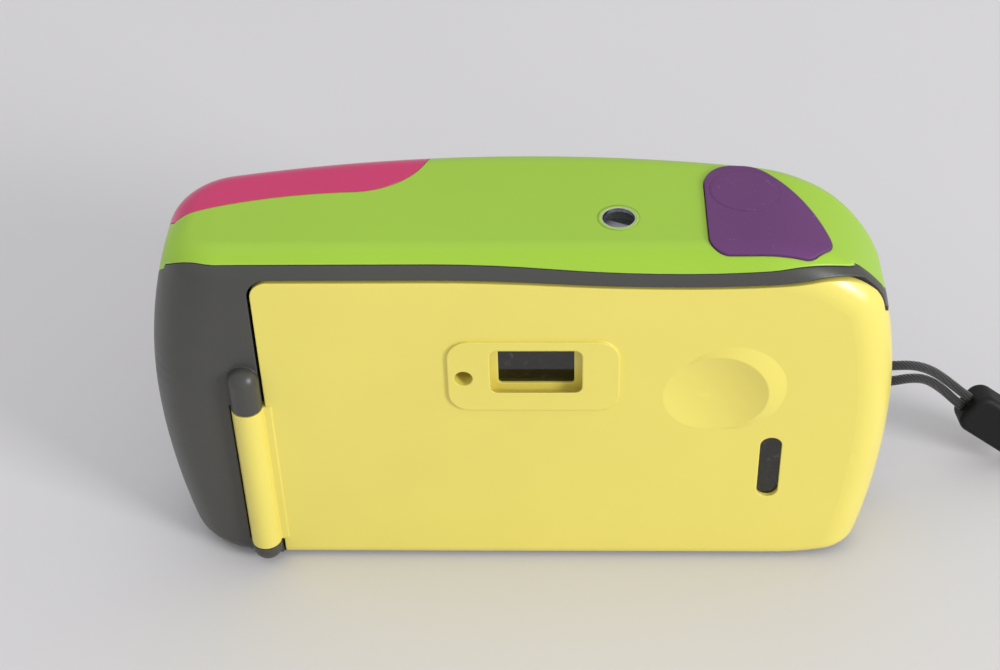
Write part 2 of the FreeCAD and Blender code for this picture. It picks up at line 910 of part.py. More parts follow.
def knuckle(name, level, direction):
    # A hinge knuckle with a round end, drawn from its flat face
    body = new_body(name)
    length = "upper_knuckle" if direction is None else "lower_knuckle"
    rows = [
        ("0", "0"),
        ("hinge_radius", "0"),
        ("hinge_radius", f"{length} - hinge_radius", "hinge_radius", "right"),
        ("0", length),
    ]
    turned(body, name + "Round", rows)
    return place(body, hinge_x, hinge_y, level, direction)


def make_main_body():
    covers = [
        door_region("DoorOpening", "door_gap"),
        top_region("TopOpening", "0"),
        front_region("FrontOpening", "0"),
        flash_region("FlashOpening", "0"),
    ]
    skin = joined("Cut", "BodySkin", shell, covers)
    wall = box(
        "HingeWall",
        ("-(hinge_place + 5)", "-(door_left + door_gap + 0.4)"),
        ("-(back_depth - case_wall / 2)", "-(back_depth - case_wall - 2.6)"),
        ("base_round", "seam_height - 16"),
    )
    foot = box(
        "KnuckleFoot",
        (f"{hinge_x} - hinge_radius", f"{hinge_x} + hinge_radius"),
        (hinge_y, "-(back_depth - base_round)"),
        ("barrel_foot - knuckle_gap - lower_knuckle + 0.6", "barrel_foot - knuckle_gap"),
    )
    boss = along_z("TripodBoss", "0", "0", "tripod_bush_radius + 2", "case_wall - 0.5", "chassis_foot")
    ledge = box(
        "BandLedge",
        ("-(door_left - 4)", "case_right - 22"),
        ("-(back_depth - case_wall)", "-(film_plane + 0.3)"),
        ("seam_height - band_height + door_gap + 0.2", "seam_height - seam_dip - 0.1"),
    )
    shelf = box(
        "BandShelf",
        ("-(door_left - 4)", "case_right - 22"),
        ("-(back_depth - case_wall - 1.1)", "-(film_plane + 0.3)"),
        ("seam_height - 5.3", "seam_height - seam_dip - 0.1"),
    )
    whole = joined("Fuse", "BodyWhole", skin, [wall, foot, boss, ledge, shelf])
    recess = along_z(
        "BarrelRecess",
        hinge_x,
        hinge_y,
        "hinge_radius + recess_gap",
        "barrel_foot - knuckle_gap",
        "barrel_top + knuckle_gap",
    )
    solid = joined("Cut", "BodyCut", whole, [recess])
    upper = knuckle("UpperKnuckle", "barrel_top + knuckle_gap", None)
    lower = knuckle("LowerKnuckle", "barrel_foot - knuckle_gap", DOWN)
    hinged = joined("Fuse", "BodyHinged", solid, [upper, lower])
    pin_hole = along_z(
        "PinHole",
        hinge_x,
        hinge_y,
        "hinge_pin_radius",
        "barrel_foot - lower_knuckle + 1",
        "barrel_top + upper_knuckle - 3",
    )
    bush_hole = along_z("BushHole", "0", "0", "tripod_bush_radius", "-5", "chassis_foot + 1")
    battery = battery_region("BatteryOpening", "lid_gap")
    button = along_z(
        "RewindButtonHole",
        "rewind_button_place",
        "rewind_button_front",
        "rewind_button_radius + button_gap",
        "-5",
        "5",
    )
    latch = box(
        "LatchSlot",
        ("case_right - 9", "case_right + 5"),
        ("latch_back", "latch_back + latch_slot_width"),
        ("latch_height - latch_tall / 2 - 0.3", "latch_height + latch_tall / 2 + latch_travel + 0.3"),
    )
    lug = lug_box("LugSlot", "-lug_depth", "6", "lug_width", "lug_tall")
    cuts = [pin_hole, bush_hole, battery, button, latch, lug] + screw_holes()
    return keep("main_body", joined("Cut", "MainBody", hinged, cuts))


def battery_region(name, grow):
    body = new_body(name)
    plan = rounded(
        f"-battery_lid_left - {grow}",
        f"-battery_lid_right + {grow}",
        f"-battery_lid_back - {grow}",
        f"battery_lid_front + {grow}",
        f"(lid_corner + {grow})",
    )
    block(body, name + "Plan", "XY_Plane", [plan], "-10", "lid_reach")
    return body


SCREWS = (
    ("-screw_side", "screw_front"),
    ("screw_side", "screw_front"),
    ("-screw_side", "-screw_back"),
    ("screw_side", "-screw_back"),
)


def screw_holes():
    holes = []
    for number, (x, y) in enumerate(SCREWS):
        holes.append(along_z(f"ScrewHead{number}", x, y, "screw_head + 0.1", "-3", "screw_sunk"))
        holes.append(along_z(f"ScrewShank{number}", x, y, "screw_shank + 0.05", "-3", "chassis_foot"))
    return holes


def make_screws():
    bodies = []
    for number, (x, y) in enumerate(SCREWS):
        body = new_body(f"Screw{number}")
        rows = [
            ("0", "screw_length"),
            ("0", "-screw_head_tall"),
            ("screw_head", "-screw_head_tall"),
            ("screw_head", "0"),
            ("screw_shank", "0"),
            ("screw_shank", "screw_length"),
        ]
        turned(body, f"Screw{number}Form", rows)
        bodies.append(place(body, x, y, "screw_sunk"))
    group = doc.addObject("Part::Compound", "CaseScrews")
    group.Links = bodies
    return keep("case_screws", group)


def pad_form(name, grow, depth):
    # The rubber pad's outline from above, with its rounded corners
    body = new_body(name)
    plan = [
        (f"pad_left - {grow}", f"-pad_back - {grow}"),
        (f"pad_rear_end + {grow}", f"-pad_back - {grow}"),
        (f"pad_right + {grow}", f"-pad_right_back + {grow}", "pad_arc", "right"),
        (f"pad_shoulder + {grow}", f"pad_front + {grow}"),
        (f"pad_left - {grow}", f"pad_front + {grow}"),
    ]
    block(body, name + "Plan", "XY_Plane", [plan], f"body_height - {depth}", "body_height + 10")
    corners = (
        (f"pad_left - {grow}", f"-pad_back - {grow}", "3.5"),
        (f"pad_rear_end + {grow}", f"-pad_back - {grow}", "3.0"),
        (f"pad_right + {grow}", f"-pad_right_back + {grow}", "4.0"),
        (f"pad_shoulder + {grow}", f"pad_front + {grow}", "4.0"),
        (f"pad_left - {grow}", f"pad_front + {grow}", "6.0"),
    )
    for number, (x, y, radius) in enumerate(corners):
        soften(body, f"{name}Corner{number}", f"{radius} + {grow}", lambda e, w=(x, y): upright(e, *w))
    return body


def make_top_cover():
    flash = flash_region("FlashSpace", "0")
    region = top_region("TopRegion", "seam_gap")
    cover = joined("Cut", "TopCoverWhole", joined("Common", "TopSkin", shell, [region]), [flash])
    pad = pad_form("PadHole", "button_gap", "pad_sunk")
    hole = along_z(
        "CounterHole",
        "counter_place",
        "-counter_back",
        "counter_radius + counter_wall",
        "body_height / 2",
        "body_height + 10",
    )
    return keep("top_cover", joined("Cut", "TopCover", cover, [pad, hole]))


def make_flash():
    region = flash_region("FlashRegion", "-seam_gap")
    skin = joined("Common", "FlashSkin", shell, [region])
    sides = (
        "-flash_window_left",
        "-flash_window_right",
        "flash_window_foot",
        "flash_window_top",
        "flash_window_corner",
    )
    opening = window_region("FlashWindowHole", *sides, "seam_gap")
    keep("flash_cover", joined("Cut", "FlashCover", skin, [opening]))
    glass = joined("Common", "FlashGlass", shell, [window_region("FlashWindowForm", *sides, "0")])
    keep("flash_window", glass)
    reflector = new_body("FlashReflector")
    low = "flash_window_foot + 0.8"
    high = "flash_window_top - 2.5"
    middle = f"(({low} + {high}) / 2)"
    deep = "(flash_mouth - reflector_depth)"
    trough = [
        ("flash_mouth", low),
        ("flash_mouth", high),
        (deep, f"{middle} + 2.4", "3.0", "left"),
        (deep, f"{middle} - 2.4"),
    ]
    ends = ("-flash_window_left + 3", "-flash_window_right - 3")
    block(reflector, "ReflectorBody", "YZ_Plane", [trough], *ends)
    hollow = [
        ("flash_mouth", f"{low} + 0.8"),
        ("flash_mouth", f"{high} - 0.8"),
        (deep, f"{middle} + 1.9", "2.3", "left"),
        (deep, f"{middle} - 1.9"),
    ]
    block(
        reflector,
        "ReflectorHollow",
        "YZ_Plane",
        [hollow],
        f"{ends[0]} + 0.8",
        f"{ends[1]} - 0.8",
        cut=True,
    )
    tube = new_body("FlashTube")
    block(
        tube,
        "TubeRod",
        "YZ_Plane",
        [("circle", f"{deep} + 0.6", middle, "tube_radius")],
        f"{ends[0]} - 2",
        f"{ends[1]} + 2",
    )
    holes = new_body("TubeHoles")
    block(
        holes,
        "TubeHolesRod",
        "YZ_Plane",
        [("circle", f"{deep} + 0.6", middle, "tube_radius")],
        f"{ends[0]} - 3",
        f"{ends[1]} + 3",
    )
    keep("flash_reflector", joined("Cut", "ReflectorDone", reflector, [holes]))
    return keep("flash_tube", tube)


def make_front():
    region = joined(
        "Cut",
        "FrontArea",
        front_region("FrontRegion", "seam_gap"),
        [flash_region("FlashSpaceFront", "0")],
    )
    skin = joined("Common", "FrontSkin", shell, [region])
    housing = new_body("LensHousing")
    block(
        housing,
        "HousingRound",
        "XZ_Plane",
        [("circle", "lens_place", "lens_height", "housing_radius")],
        "front_depth - 4",
        "housing_front",
    )
    soften(housing, "HousingEdge", "2", lambda e: near(e.BoundBox.YMin, value("housing_front"), 0.05))
    whole = joined("Fuse", "FrontWhole", skin, [housing])
    well = along_y(
        "LensWell", "lens_place", "lens_height", "barrel_radius + 0.1", "0", "front_depth + 30",
    )
    seat = along_y(
        "BezelSeat",
        "lens_place",
        "lens_height",
        "bezel_radius + 0.1",
        "housing_front - bezel_thick",
        "front_depth + 30",
    )
    panel_sides = ("-panel_left", "panel_right", "panel_foot", "panel_top", "panel_corner")
    opening = window_region("PanelHole", *panel_sides, "seam_gap")
    sensor = along_y(
        "SensorHole", "sensor_place", "sensor_height", "sensor_radius + 0.1", "0", "front_depth + 30",
    )
    lamp = along_y(
        "TimerHole", "timer_place", "sensor_height", "timer_radius + 0.1", "0", "front_depth + 30",
    )
    keep("front_cover", joined("Cut", "FrontCover", whole, [well, seat, opening, sensor, lamp]))
    keep(
        "window_panel",
        joined("Common", "WindowPanel", shell, [window_region("PanelForm", *panel_sides, "0")]),
    )
    sensor_rod = along_y(
        "LightSensor",
        "sensor_place",
        "sensor_height",
        "sensor_radius",
        "front_depth - 5",
        "front_depth + 30",
    )
    keep("light_sensor", joined("Common", "SensorDone", sensor_rod, [case_copy("SensorTrim")]))
    timer_rod = along_y(
        "TimerLamp",
        "timer_place",
        "sensor_height",
        "timer_radius",
        "front_depth - 6",
        "front_depth + 30",
    )
    return keep("self_timer_lamp", joined("Common", "TimerDone", timer_rod, [case_copy("TimerTrim")]))


def case_copy(name):
    copy = doc.addObject("Part::Compound", name)
    copy.Links = [outer]
    return copy


def make_lens():
    centre = ("lens_place", "lens_height")
    keep(
        "lens_barrel",
        along_y(
            "LensBarrel",
            *centre,
            "barrel_radius",
            "chassis_front",
            "housing_front - bezel_thick - 1",
            "barrel_radius - barrel_wall",
        ),
    )
    bezel = new_body("LensBezel")
    rows = [
        ("window_radius", "0"),
        ("bezel_radius", "0"),
        ("bezel_radius", "bezel_thick - 0.4"),
        ("bezel_radius - 1", "bezel_thick + 0.6"),
        ("window_radius + 1.4", "bezel_thick + 0.6"),
        ("window_radius", "bezel_thick - 0.2"),
    ]
    turned(bezel, "BezelRing", rows)
    keep("lens_bezel", place(bezel, *centre[:1], "housing_front - bezel_thick", centre[1], TO_FRONT))
    keep(
        "lens_window",
        along_y(
            "LensWindow",
            *centre,
            "window_radius - 0.05",
            "housing_front - bezel_thick",
            "housing_front - 0.4",
        ),
    )
    cell = new_body("FocusCell")
    bore = "barrel_radius - barrel_wall - cell_fit"
    rows = [
        ("lens_radius", "0"),
        (bore, "0"),
        (bore, "cell_front - cell_back - 2"),
        (f"{bore} - 2", "cell_front - cell_back"),
        ("lens_radius + 1", "cell_front - cell_back"),
        ("lens_radius", "cell_front - cell_back - 1.5"),
    ]
    turned(cell, "CellRing", rows)
    keep("focus_cell", place(cell, centre[0], "cell_back", centre[1], TO_FRONT))
    front = new_body("FrontLens")
    rows = [
        ("0", "0"),
        ("lens_radius", "0"),
        ("lens_radius", "1.2", "14", "right"),
        ("0", "1.2 + 14 - sqrt(14 ^ 2 - lens_radius ^ 2)"),
    ]
    turned(front, "FrontLensGlass", rows)
    keep("front_lens", place(front, centre[0], "cell_front - 4.4", centre[1], TO_FRONT))
    rear = new_body("RearLens")
    turned(rear, "RearLensGlass", rows)
    keep("rear_lens", place(rear, centre[0], "cell_back + 3.2", centre[1], TO_BACK))
    bosses = []
    for name, offset in (
        ("FocusLensLeft", "-focus_spacing / 2"), ("FocusLensRight", "focus_spacing / 2"),
    ):
        bosses.append(
            along_y(
                name,
                f"focus_place {offset}" if offset.startswith("-") else f"focus_place + {offset}",
                "(panel_foot + panel_top) / 2",
                "focus_radius",
                "chassis_front",
                "chassis_front + 2.6",
            ),
        )
    pair = doc.addObject("Part::Compound", "AutofocusLenses")
    pair.Links = bosses
    return keep("autofocus_lenses", pair)


def on_block_edge(edge):
    # The three lengthwise corners of the chassis that are still sharp
    centre = edge.BoundBox.Center
    left = near(centre.x, value("-chassis_left"), 0.05)
    foot = near(centre.z, value("chassis_foot"), 0.05)
    right = near(centre.x, value("chassis_right"), 0.05)
    return (left and (foot or near(centre.z, value("chassis_top"), 0.05))) or (right and foot)


def make_chassis():
    body = new_body("FilmChassis")
    outline = rectangle("-chassis_left", "chassis_right", "chassis_foot", "chassis_top")
    block(body, "ChassisBlock", "XZ_Plane", [outline], "-film_plane", "chassis_front")
    soften(body, "ChassisSide", "chassis_corner", lambda e: upright(e, "chassis_right", "chassis_front"))
    soften(body, "ChassisEnd", "chassis_round", lambda e: upright(e, "-chassis_left", "chassis_front"))
    corner = (value("chassis_right"), value("chassis_top"))
    soften(body, "ChassisShoulder", "chassis_shoulder", lambda e: at_corner(e, *corner))
    soften(body, "ChassisCorners", "chassis_round", lambda e: lengthwise(e) and on_block_edge(e))
    rim = rounded("-rim_left - 1", "rim_right", "rim_foot", "rim_top", "rim_corner")
    hole = rounded(
        "-rim_left",
        "rim_right - rim_wall",
        "rim_foot + rim_wall",
        "rim_top - rim_wall",
        "(rim_corner - rim_wall)",
    )
    block(body, "LightTrapRim", "XZ_Plane", [rim, hole], "-film_plane - rim_proud", "-film_plane + 1")
    low = "lens_height - frame_tall / 2"
    high = "lens_height + frame_tall / 2"
    half = "lens_height - film_width / 2"
    top = "lens_height + film_width / 2"
    sides = ("lens_place - rail_length", "lens_place + rail_length")
    inner_rails = [
        rectangle(*sides, f"{low} - 0.4 - rail_width", f"{low} - 0.4"),
        rectangle(*sides, f"{high} + 0.4", f"{high} + 0.4 + rail_width"),
    ]
    outer_rails = [
        rectangle(*sides, f"{half} - 0.2 - rail_width", f"{half} - 0.2"),
        rectangle(*sides, f"{top} + 0.2", f"{top} + 0.2 + rail_width"),
    ]
    block(body, "InnerRails", "XZ_Plane", inner_rails, "-film_plane - rail_step", "-film_plane + 1")
    block(body, "OuterRails", "XZ_Plane", outer_rails, "-film_plane - rail_step - 0.2", "-film_plane + 1")
    flash_space = rectangle(
        "-chassis_left - 1", "-flash_window_right + 2", "flash_window_foot - 1", "chassis_top + 1",
    )
    block(
        body,
        "FlashSpace",
        "XZ_Plane",
        [flash_space],
        "flash_mouth - reflector_depth - 1.6",
        "chassis_front + 5",
        cut=True,
    )
    block(
        body,
        "BushSeat",
        "XY_Plane",
        [("circle", "0", "0", "tripod_bush_radius + 0.05")],
        "chassis_foot - 1",
        "tripod_depth + 1.1",
        cut=True,
    )
    # Cassette and take-up chambers, open at the back
    wells = (
        ("Cassette", "cassette_place", "(cassette_radius + chamber_play)"),
        ("Spool", "-spool_place", "spool_chamber"),
    )
    for name, x, radius in wells:
        levels = ("chamber_foot", "chamber_top")
        block(
            body, name + "Well", "XY_Plane", [("circle", x, "-chamber_depth", radius)], *levels, cut=True,
        )
        mouth = rectangle(
            f"{x} - {radius}", f"{x} + {radius}", "-film_plane - rail_step - 0.3", "-chamber_depth",
        )
        block(body, name + "Mouth", "XY_Plane", [mouth], *levels, cut=True)
    room = [("circle", "rewind_button_place", "rewind_button_front", "rewind_button_radius + 0.4")]
    block(body, "ButtonRoom", "XY_Plane", room, "chassis_foot - 1", "chassis_foot + 1", cut=True)
    # The film spool's end stands out above the cassette
    levels = ("chamber_top - 1", "chamber_top + hub_rise")
    block(
        body,
        "HubWell",
        "XY_Plane",
        [("circle", "cassette_place", "-chamber_depth", "hub_radius")],
        *levels,
        cut=True,
    )
    mouth = rectangle(*about("cassette_place", "2 * hub_radius"), "-film_plane - 1", "-chamber_depth")
    block(body, "HubMouth", "XY_Plane", [mouth], *levels, cut=True)
    # Picture frame, narrowing towards the lens
    gate = add_sketch(
        body,
        "GateBack",
        "XZ_Plane",
        [rectangle(*about("lens_place", "frame_width"), low, high)],
        "film_plane + rail_step + 1",
    )
    exit_sides = about("lens_place", "light_exit")
    front = add_sketch(
        body,
        "GateFront",
        "XZ_Plane",
        [rectangle(*exit_sides, *about("lens_height", "light_exit"))],
        "-chassis_front - 1",
    )
    tunnel = body.newObject("PartDesign::SubtractiveLoft", "LightTunnel")
    tunnel.Profile = gate
    tunnel.Sections = [front]
    tunnel.Ruled = True
    # Sprocket seat: a bore for the shaft with wider pockets for the wheels
    wheel = "sprocket_root + tooth_tall + turning_gap"
    for name, z in (
        ("Lower", "lens_height - perforation_offset"), ("Upper", "lens_height + perforation_offset"),
    ):
        levels = (f"{z} - wheel_thick / 2 - turning_gap", f"{z} + wheel_thick / 2 + turning_gap")
        block(
            body,
            f"{name}WheelSeat",
            "XY_Plane",
            [("circle", "-sprocket_place", "-sprocket_depth", wheel)],
            *levels,
            cut=True,
        )
    shaft = [("circle", "-sprocket_place", "-sprocket_depth", "shaft_radius + running_fit")]
    block(body, "SprocketBore", "XY_Plane", shaft, "chamber_foot - 1", "chassis_top + 1", cut=True)
    # Bores for the spool, the rewind fork, the viewfinder and the ready lamp
    block(
        body,
        "SpoolBore",
        "XY_Plane",
        [("circle", "-spool_place", "-chamber_depth", "shaft_radius + running_fit")],
        "chassis_foot - 1",
        "chassis_top + 1",
        cut=True,
    )
    block(
        body,
        "ForkBore",
        "XY_Plane",
        [("circle", "cassette_place", "-chamber_depth", "fork_radius + running_fit")],
        "chassis_foot - 1",
        "chamber_foot + 1",
        cut=True,
    )
    tube = rectangle(
        *about("eyepiece_place", "eyepiece_width + 1"),
        *about("(eyepiece_height + finder_rise)", "eyepiece_tall"),
    )
    block(body, "FinderTunnel", "XZ_Plane", [tube], "-film_plane - 5", "chassis_front + 5", cut=True)
    block(
        body,
        "LampSeat",
        "XZ_Plane",
        [("circle", "eyepiece_place - lamp_offset", "eyepiece_height - lamp_drop", "lamp_radius")],
        "-film_plane - 5",
        "-film_plane + 4",
        cut=True,
    )
    # The moulding in five pieces that meet face to face
    low, high, far = "0", "body_height", "2 * case_left"
    parts = (
        ("film_chassis", ("-gate_left", "gate_right"), (low, "gate_top")),
        ("finder_frame", ("-gate_left", "gate_right"), ("gate_top", high)),
        ("cassette_housing", ("gate_right", far), (low, high)),
        ("spool_housing", (f"-({far})", "-gate_left"), (low, "shelf_height")),
        ("flash_shelf", (f"-({far})", "-gate_left"), ("shelf_height", high)),
    )
    for label, wide, tall in parts:
        room = box(label + "_room", wide, ("-back_depth", "front_depth"), tall)
        keep(label, joined("Common", label + "_part", body, [room]))


def make_latch():
    # A thumb slide in the right end, with a tooth beside the door's barb
    body = new_body("DoorLatch")
    sides = ("latch_back + 0.3", "latch_back + latch_slot_width - 0.3")
    levels = ("latch_height - latch_tall / 2", "latch_height + latch_tall / 2")
    block(
        body,
        "LatchKnob",
        "XY_Plane",
        [rectangle("chassis_right + 0.5", "case_right + 2", *sides)],
        *levels,
    )
    for number in range(4):
        z = f"latch_height + {number * 2 - 3}"
        groove = rectangle("case_right - 0.5", "case_right + 1", f"{z} - 0.4", f"{z} + 0.4")
        block(body, f"LatchGroove{number}", "XZ_Plane", [groove], "-back_depth", "front_depth", cut=True)
    knob = joined("Common", "LatchTrimmed", body, [raised_case("LatchTrim", "latch_proud", "0")])
    tongue = box(
        "LatchTongue",
        ("chassis_right + 0.4", "chassis_right + 1.6"),
        ("-3.4", "latch_back + 1"),
        ("latch_height - 2", "latch_height + 2"),
    )
    return keep("door_latch", joined("Fuse", "LatchDone", knob, [tongue]))


def inner_copy(name):
    copy = doc.addObject("Part::Compound", name)
    copy.Links = [inner]
    return copy


def raised_case(name, out, up):
    # The outer case again, moved out to the right or up
    copy = doc.addObject("Part::Compound", name)
    copy.Links = [outer]
    bind(copy, "Placement.Base.x", out)
    bind(copy, "Placement.Base.z", up)
    return copy


def make_top_controls():
    pad = joined(
        "Common",
        "PadTrimmed",
        pad_form("ButtonPad", "0", "pad_sunk"),
        [raised_case("PadTop", "0", "pad_rise")],
    )
    hole = along_z(
        "ButtonHole",
        "button_place",
        "button_front",
        "button_radius + button_gap",
        "0",
        "body_height + 20",
    )
    holed = joined("Cut", "PadHoled", pad, [hole])
    keep("button_pad", joined("Common", "PadDone", holed, [top_region("PadRegion", "seam_gap")]))
    levels = ("body_height - pad_sunk", "body_height + 10")
    disc = along_z("ButtonDisc", "button_place", "button_front", "button_radius", *levels)
    keep(
        "shutter_button",
        joined("Common", "ButtonDone", disc, [raised_case("ButtonTop", "0", "pad_rise")]),
    )
    rows = [
        ("0", "0"),
        ("plunger_radius", "0"),
        ("plunger_radius", "3.0"),
        ("plunger_radius * 2", "3.0"),
        ("plunger_radius * 2", "plunger_tall"),
        ("0", "plunger_tall"),
    ]
    plunger = new_body("ShutterPlunger")
    turned(plunger, "PlungerRound", rows)
    keep(
        "shutter_plunger",
        place(plunger, "button_place", "button_front", "body_height - pad_sunk - plunger_tall"),
    )
    keep(
        "counter_window",
        along_z(
            "CounterWindow",
            "counter_place",
            "-counter_back",
            "counter_radius",
            "body_height - case_wall - 0.6",
            "body_height - 0.9",
        ),
    )
    keep(
        "counter_bezel",
        joined(
            "Common",
            "BezelDone",
            along_z(
                "CounterBezel",
                "counter_place",
                "-counter_back",
                "counter_radius + counter_wall",
                "body_height - counter_deep",
                "body_height + 5",
                "counter_radius",
            ),
            [case_copy("BezelTrim")],
        ),
    )
    dial = new_body("CounterDial")
    foot = "-(body_height - counter_deep - 1.1 - chassis_top - 0.3)"
    rows = [
        ("0", foot),
        ("1.0", foot),
        ("1.0", "0"),
        ("dial_radius", "0"),
        ("dial_radius", "0.8"),
        ("0", "0.8"),
    ]
    turned(dial, "DialRound", rows)
    keep(
        "counter_dial",
        place(dial, "counter_place", "dial_offset - counter_back", "body_height - counter_deep - 1.1"),
    )
    deck = new_body("TopDeck")
    outline = rectangle(
        "-chassis_left + 4", "chassis_right - 8", "-film_plane + 0.6", "chassis_front - 3",
    )
    hole_loops = [
        ("circle", "counter_place", "dial_offset - counter_back", "1.0 + running_fit"),
        ("circle", "button_place", "button_front", "plunger_radius + running_fit"),
    ]
    block(deck, "DeckPlate", "XY_Plane", [outline] + hole_loops, "chassis_top + 0.1", "chassis_top + 1.5")
    return keep("top_deck", deck)


def make_door_fittings():
    x = ("-rim_left + 3.4", "rim_right + lip_gap + lip_wall")
    z = ("rim_foot - lip_gap - lip_wall", "rim_top + lip_gap + lip_wall")
    back = "-(back_depth - case_wall)"
    front = f"{back} + liner_thick"
    liner = new_body("DoorLiner")
    block(liner, "LinerPlate", "XZ_Plane", [rounded(*x, *z, "3")], back, front)
    lip = [
        rounded("-rim_left + 9", x[1], *z, "3"),
        rounded(
            "-rim_left + 10", "rim_right + lip_gap", "rim_foot - lip_gap", "rim_top + lip_gap", "2.5",
        ),
    ]
    block(liner, "LinerLip", "XZ_Plane", lip, f"{front} - 0.2", f"{front} + lip_tall")
    open_side = [
        ("-rim_left - 5", "-5"),
        ("case_right", "-5"),
        ("case_right", "rim_foot + 6"),
        ("-rim_left + 14", "rim_foot + 6"),
        ("-rim_left + 14", "body_height"),
        ("-rim_left - 5", "body_height"),
    ]
    block(liner, "LinerOpenSide", "XZ_Plane", [open_side], front, f"{front} + 5", cut=True)
    boss = rounded(
        *about("(eyepiece_place - 0.5)", "plate_width + 0.6"),
        *about("(eyepiece_height - 1.2)", "plate_tall + 0.6"),
        "(plate_corner + 0.3)",
    )
    block(liner, "LinerBoss", "XZ_Plane", [boss], f"{back} - 1", f"{front} + 1", cut=True)
    slot = rounded(
        *about("slot_place", "slot_width"), *about("slot_height", "slot_tall"), "(slot_width / 2 - 0.05)",
    )
    block(liner, "LinerSlot", "XZ_Plane", [slot], f"{back} - 1", f"{front} + 1", cut=True)
    keep("door_liner", joined("Common", "LinerDone", liner, [inner_copy("LinerTrim")]))
    catch = new_body("DoorCatch")
    wall = "case_right"
    edge = "-(back_depth - door_wrap) - 0.7"
    nose = "chassis_right + 0.5"
    hook = [
        (wall, "-11.5"),
        (wall, edge),
        (f"{nose} + hook_width + 0.6", edge),
        (f"{nose} + 1.8", f"{edge} + 2"),
        (f"{nose} + 1.8", f"{edge} + 3.7"),
        (nose, f"{edge} + 3.7"),
        (nose, f"{edge} - 1.3"),
        (f"{nose} + hook_width", "-11.5"),
    ]
    block(catch, "CatchHook", "XY_Plane", [hook], "latch_height - 8", "latch_height - 2 - hook_clear")
    keep("door_catch", joined("Common", "CatchDone", catch, [inner_copy("CatchTrim")]))
    touch = "-film_plane - rail_step - 0.3"
    plate = new_body("PressurePlate")
    block(
        plate,
        "PlateSheet",
        "XZ_Plane",
        [rounded("-plate_left", "plate_right", "plate_foot", "plate_top", "2")],
        f"{touch} - plate_thick",
        touch,
    )
    keep("pressure_plate", plate)
    spring = new_body("PressureSpring")
    gap_low = f"{front}"
    gap_high = f"{touch} - plate_thick"
    middle = "((plate_right - plate_left) / 2)"
    leaf = [
        (f"{middle} - 14", gap_low),
        (f"{middle} - 10", gap_low),
        (f"{middle} - 2", f"{gap_high} - 0.3"),
        (f"{middle} + 2", f"{gap_high} - 0.3"),
        (f"{middle} + 10", gap_low),
        (f"{middle} + 14", gap_low),
        (f"{middle} + 14", f"{gap_low} + 0.3"),
        (f"{middle} + 10", f"{gap_low} + 0.3"),
        (f"{middle} + 2", gap_high),
        (f"{middle} - 2", gap_high),
        (f"{middle} - 10", f"{gap_low} + 0.3"),
        (f"{middle} - 14", f"{gap_low} + 0.3"),
    ]
    block(spring, "SpringLeaf", "XY_Plane", [leaf], "lens_height - 4", "lens_height + 4")
    keep("pressure_spring", spring)
    seat_back = "-(back_depth - funnel_depth - 0.6)"
    keep(
        "eyepiece_window",
        window(
            "EyepieceGlass",
            finder,
            "eyepiece_width + 2 - glass_gap * 2",
            "eyepiece_tall + 2 - glass_gap * 2",
            "1",
            seat_back,
            f"{seat_back} + glass_thick",
        ),
    )
    keep(
        "film_window",
        window(
            "FilmWindowGlass",
            ("slot_place", "slot_height"),
            "slot_width - glass_gap * 2",
            "slot_tall - glass_gap * 2",
            "(slot_width / 2 - 0.1)",
            "-(back_depth - 0.8)",
            front,
        ),
    )
    seal = new_body("DoorSeal")
    frame = [
        rounded(
            *about("slot_place", "slot_width + 4.4"), *about("slot_height", "slot_tall + 4.4"), "3.5",
        ),
        rounded(*about("slot_place", "slot_width + 1"), *about("slot_height", "slot_tall + 1"), "2"),
    ]
    block(seal, "SealFoam", "XZ_Plane", frame, front, f"{front} + 1.6")
    keep("film_window_seal", seal)
    return keep(
        "hinge_pin",
        along_z(
            "HingePin",
            hinge_x,
            hinge_y,
            "hinge_pin_radius",
            "barrel_foot - lower_knuckle + 1",
            "barrel_top + upper_knuckle - 3",
        ),
    )


def toothed(name, z):
    # A wheel with a ring of small teeth for the film's perforations
    body = new_body(name)
    levels = (f"{z} - wheel_thick / 2", f"{z} + wheel_thick / 2")
    block(body, name + "Disc", "XY_Plane", [("circle", "0", "0", "sprocket_root")], *levels)
    tip = "sprocket_root + tooth_tall"
    tooth = [
        ("sprocket_root - 0.5", "-tooth_thick / 2"),
        (tip, "-tooth_thick / 3"),
        (tip, "tooth_thick / 3"),
        ("sprocket_root - 0.5", "tooth_thick / 2"),
    ]
    low = f"{z} - wheel_thick / 3"
    block(body, name + "Tooth", "XY_Plane", [tooth], low, f"{z} + wheel_thick / 3")
    first = body.Tip
    doc.recompute()
    ring = body.newObject("PartDesign::PolarPattern", name + "Teeth")
    ring.Originals = [first]
    ring.Axis = (body.Origin.OriginFeatures[2], [""])
    ring.Angle = 360
    bind(ring, "Occurrences", "tooth_count")
    body.Tip = ring
    return body


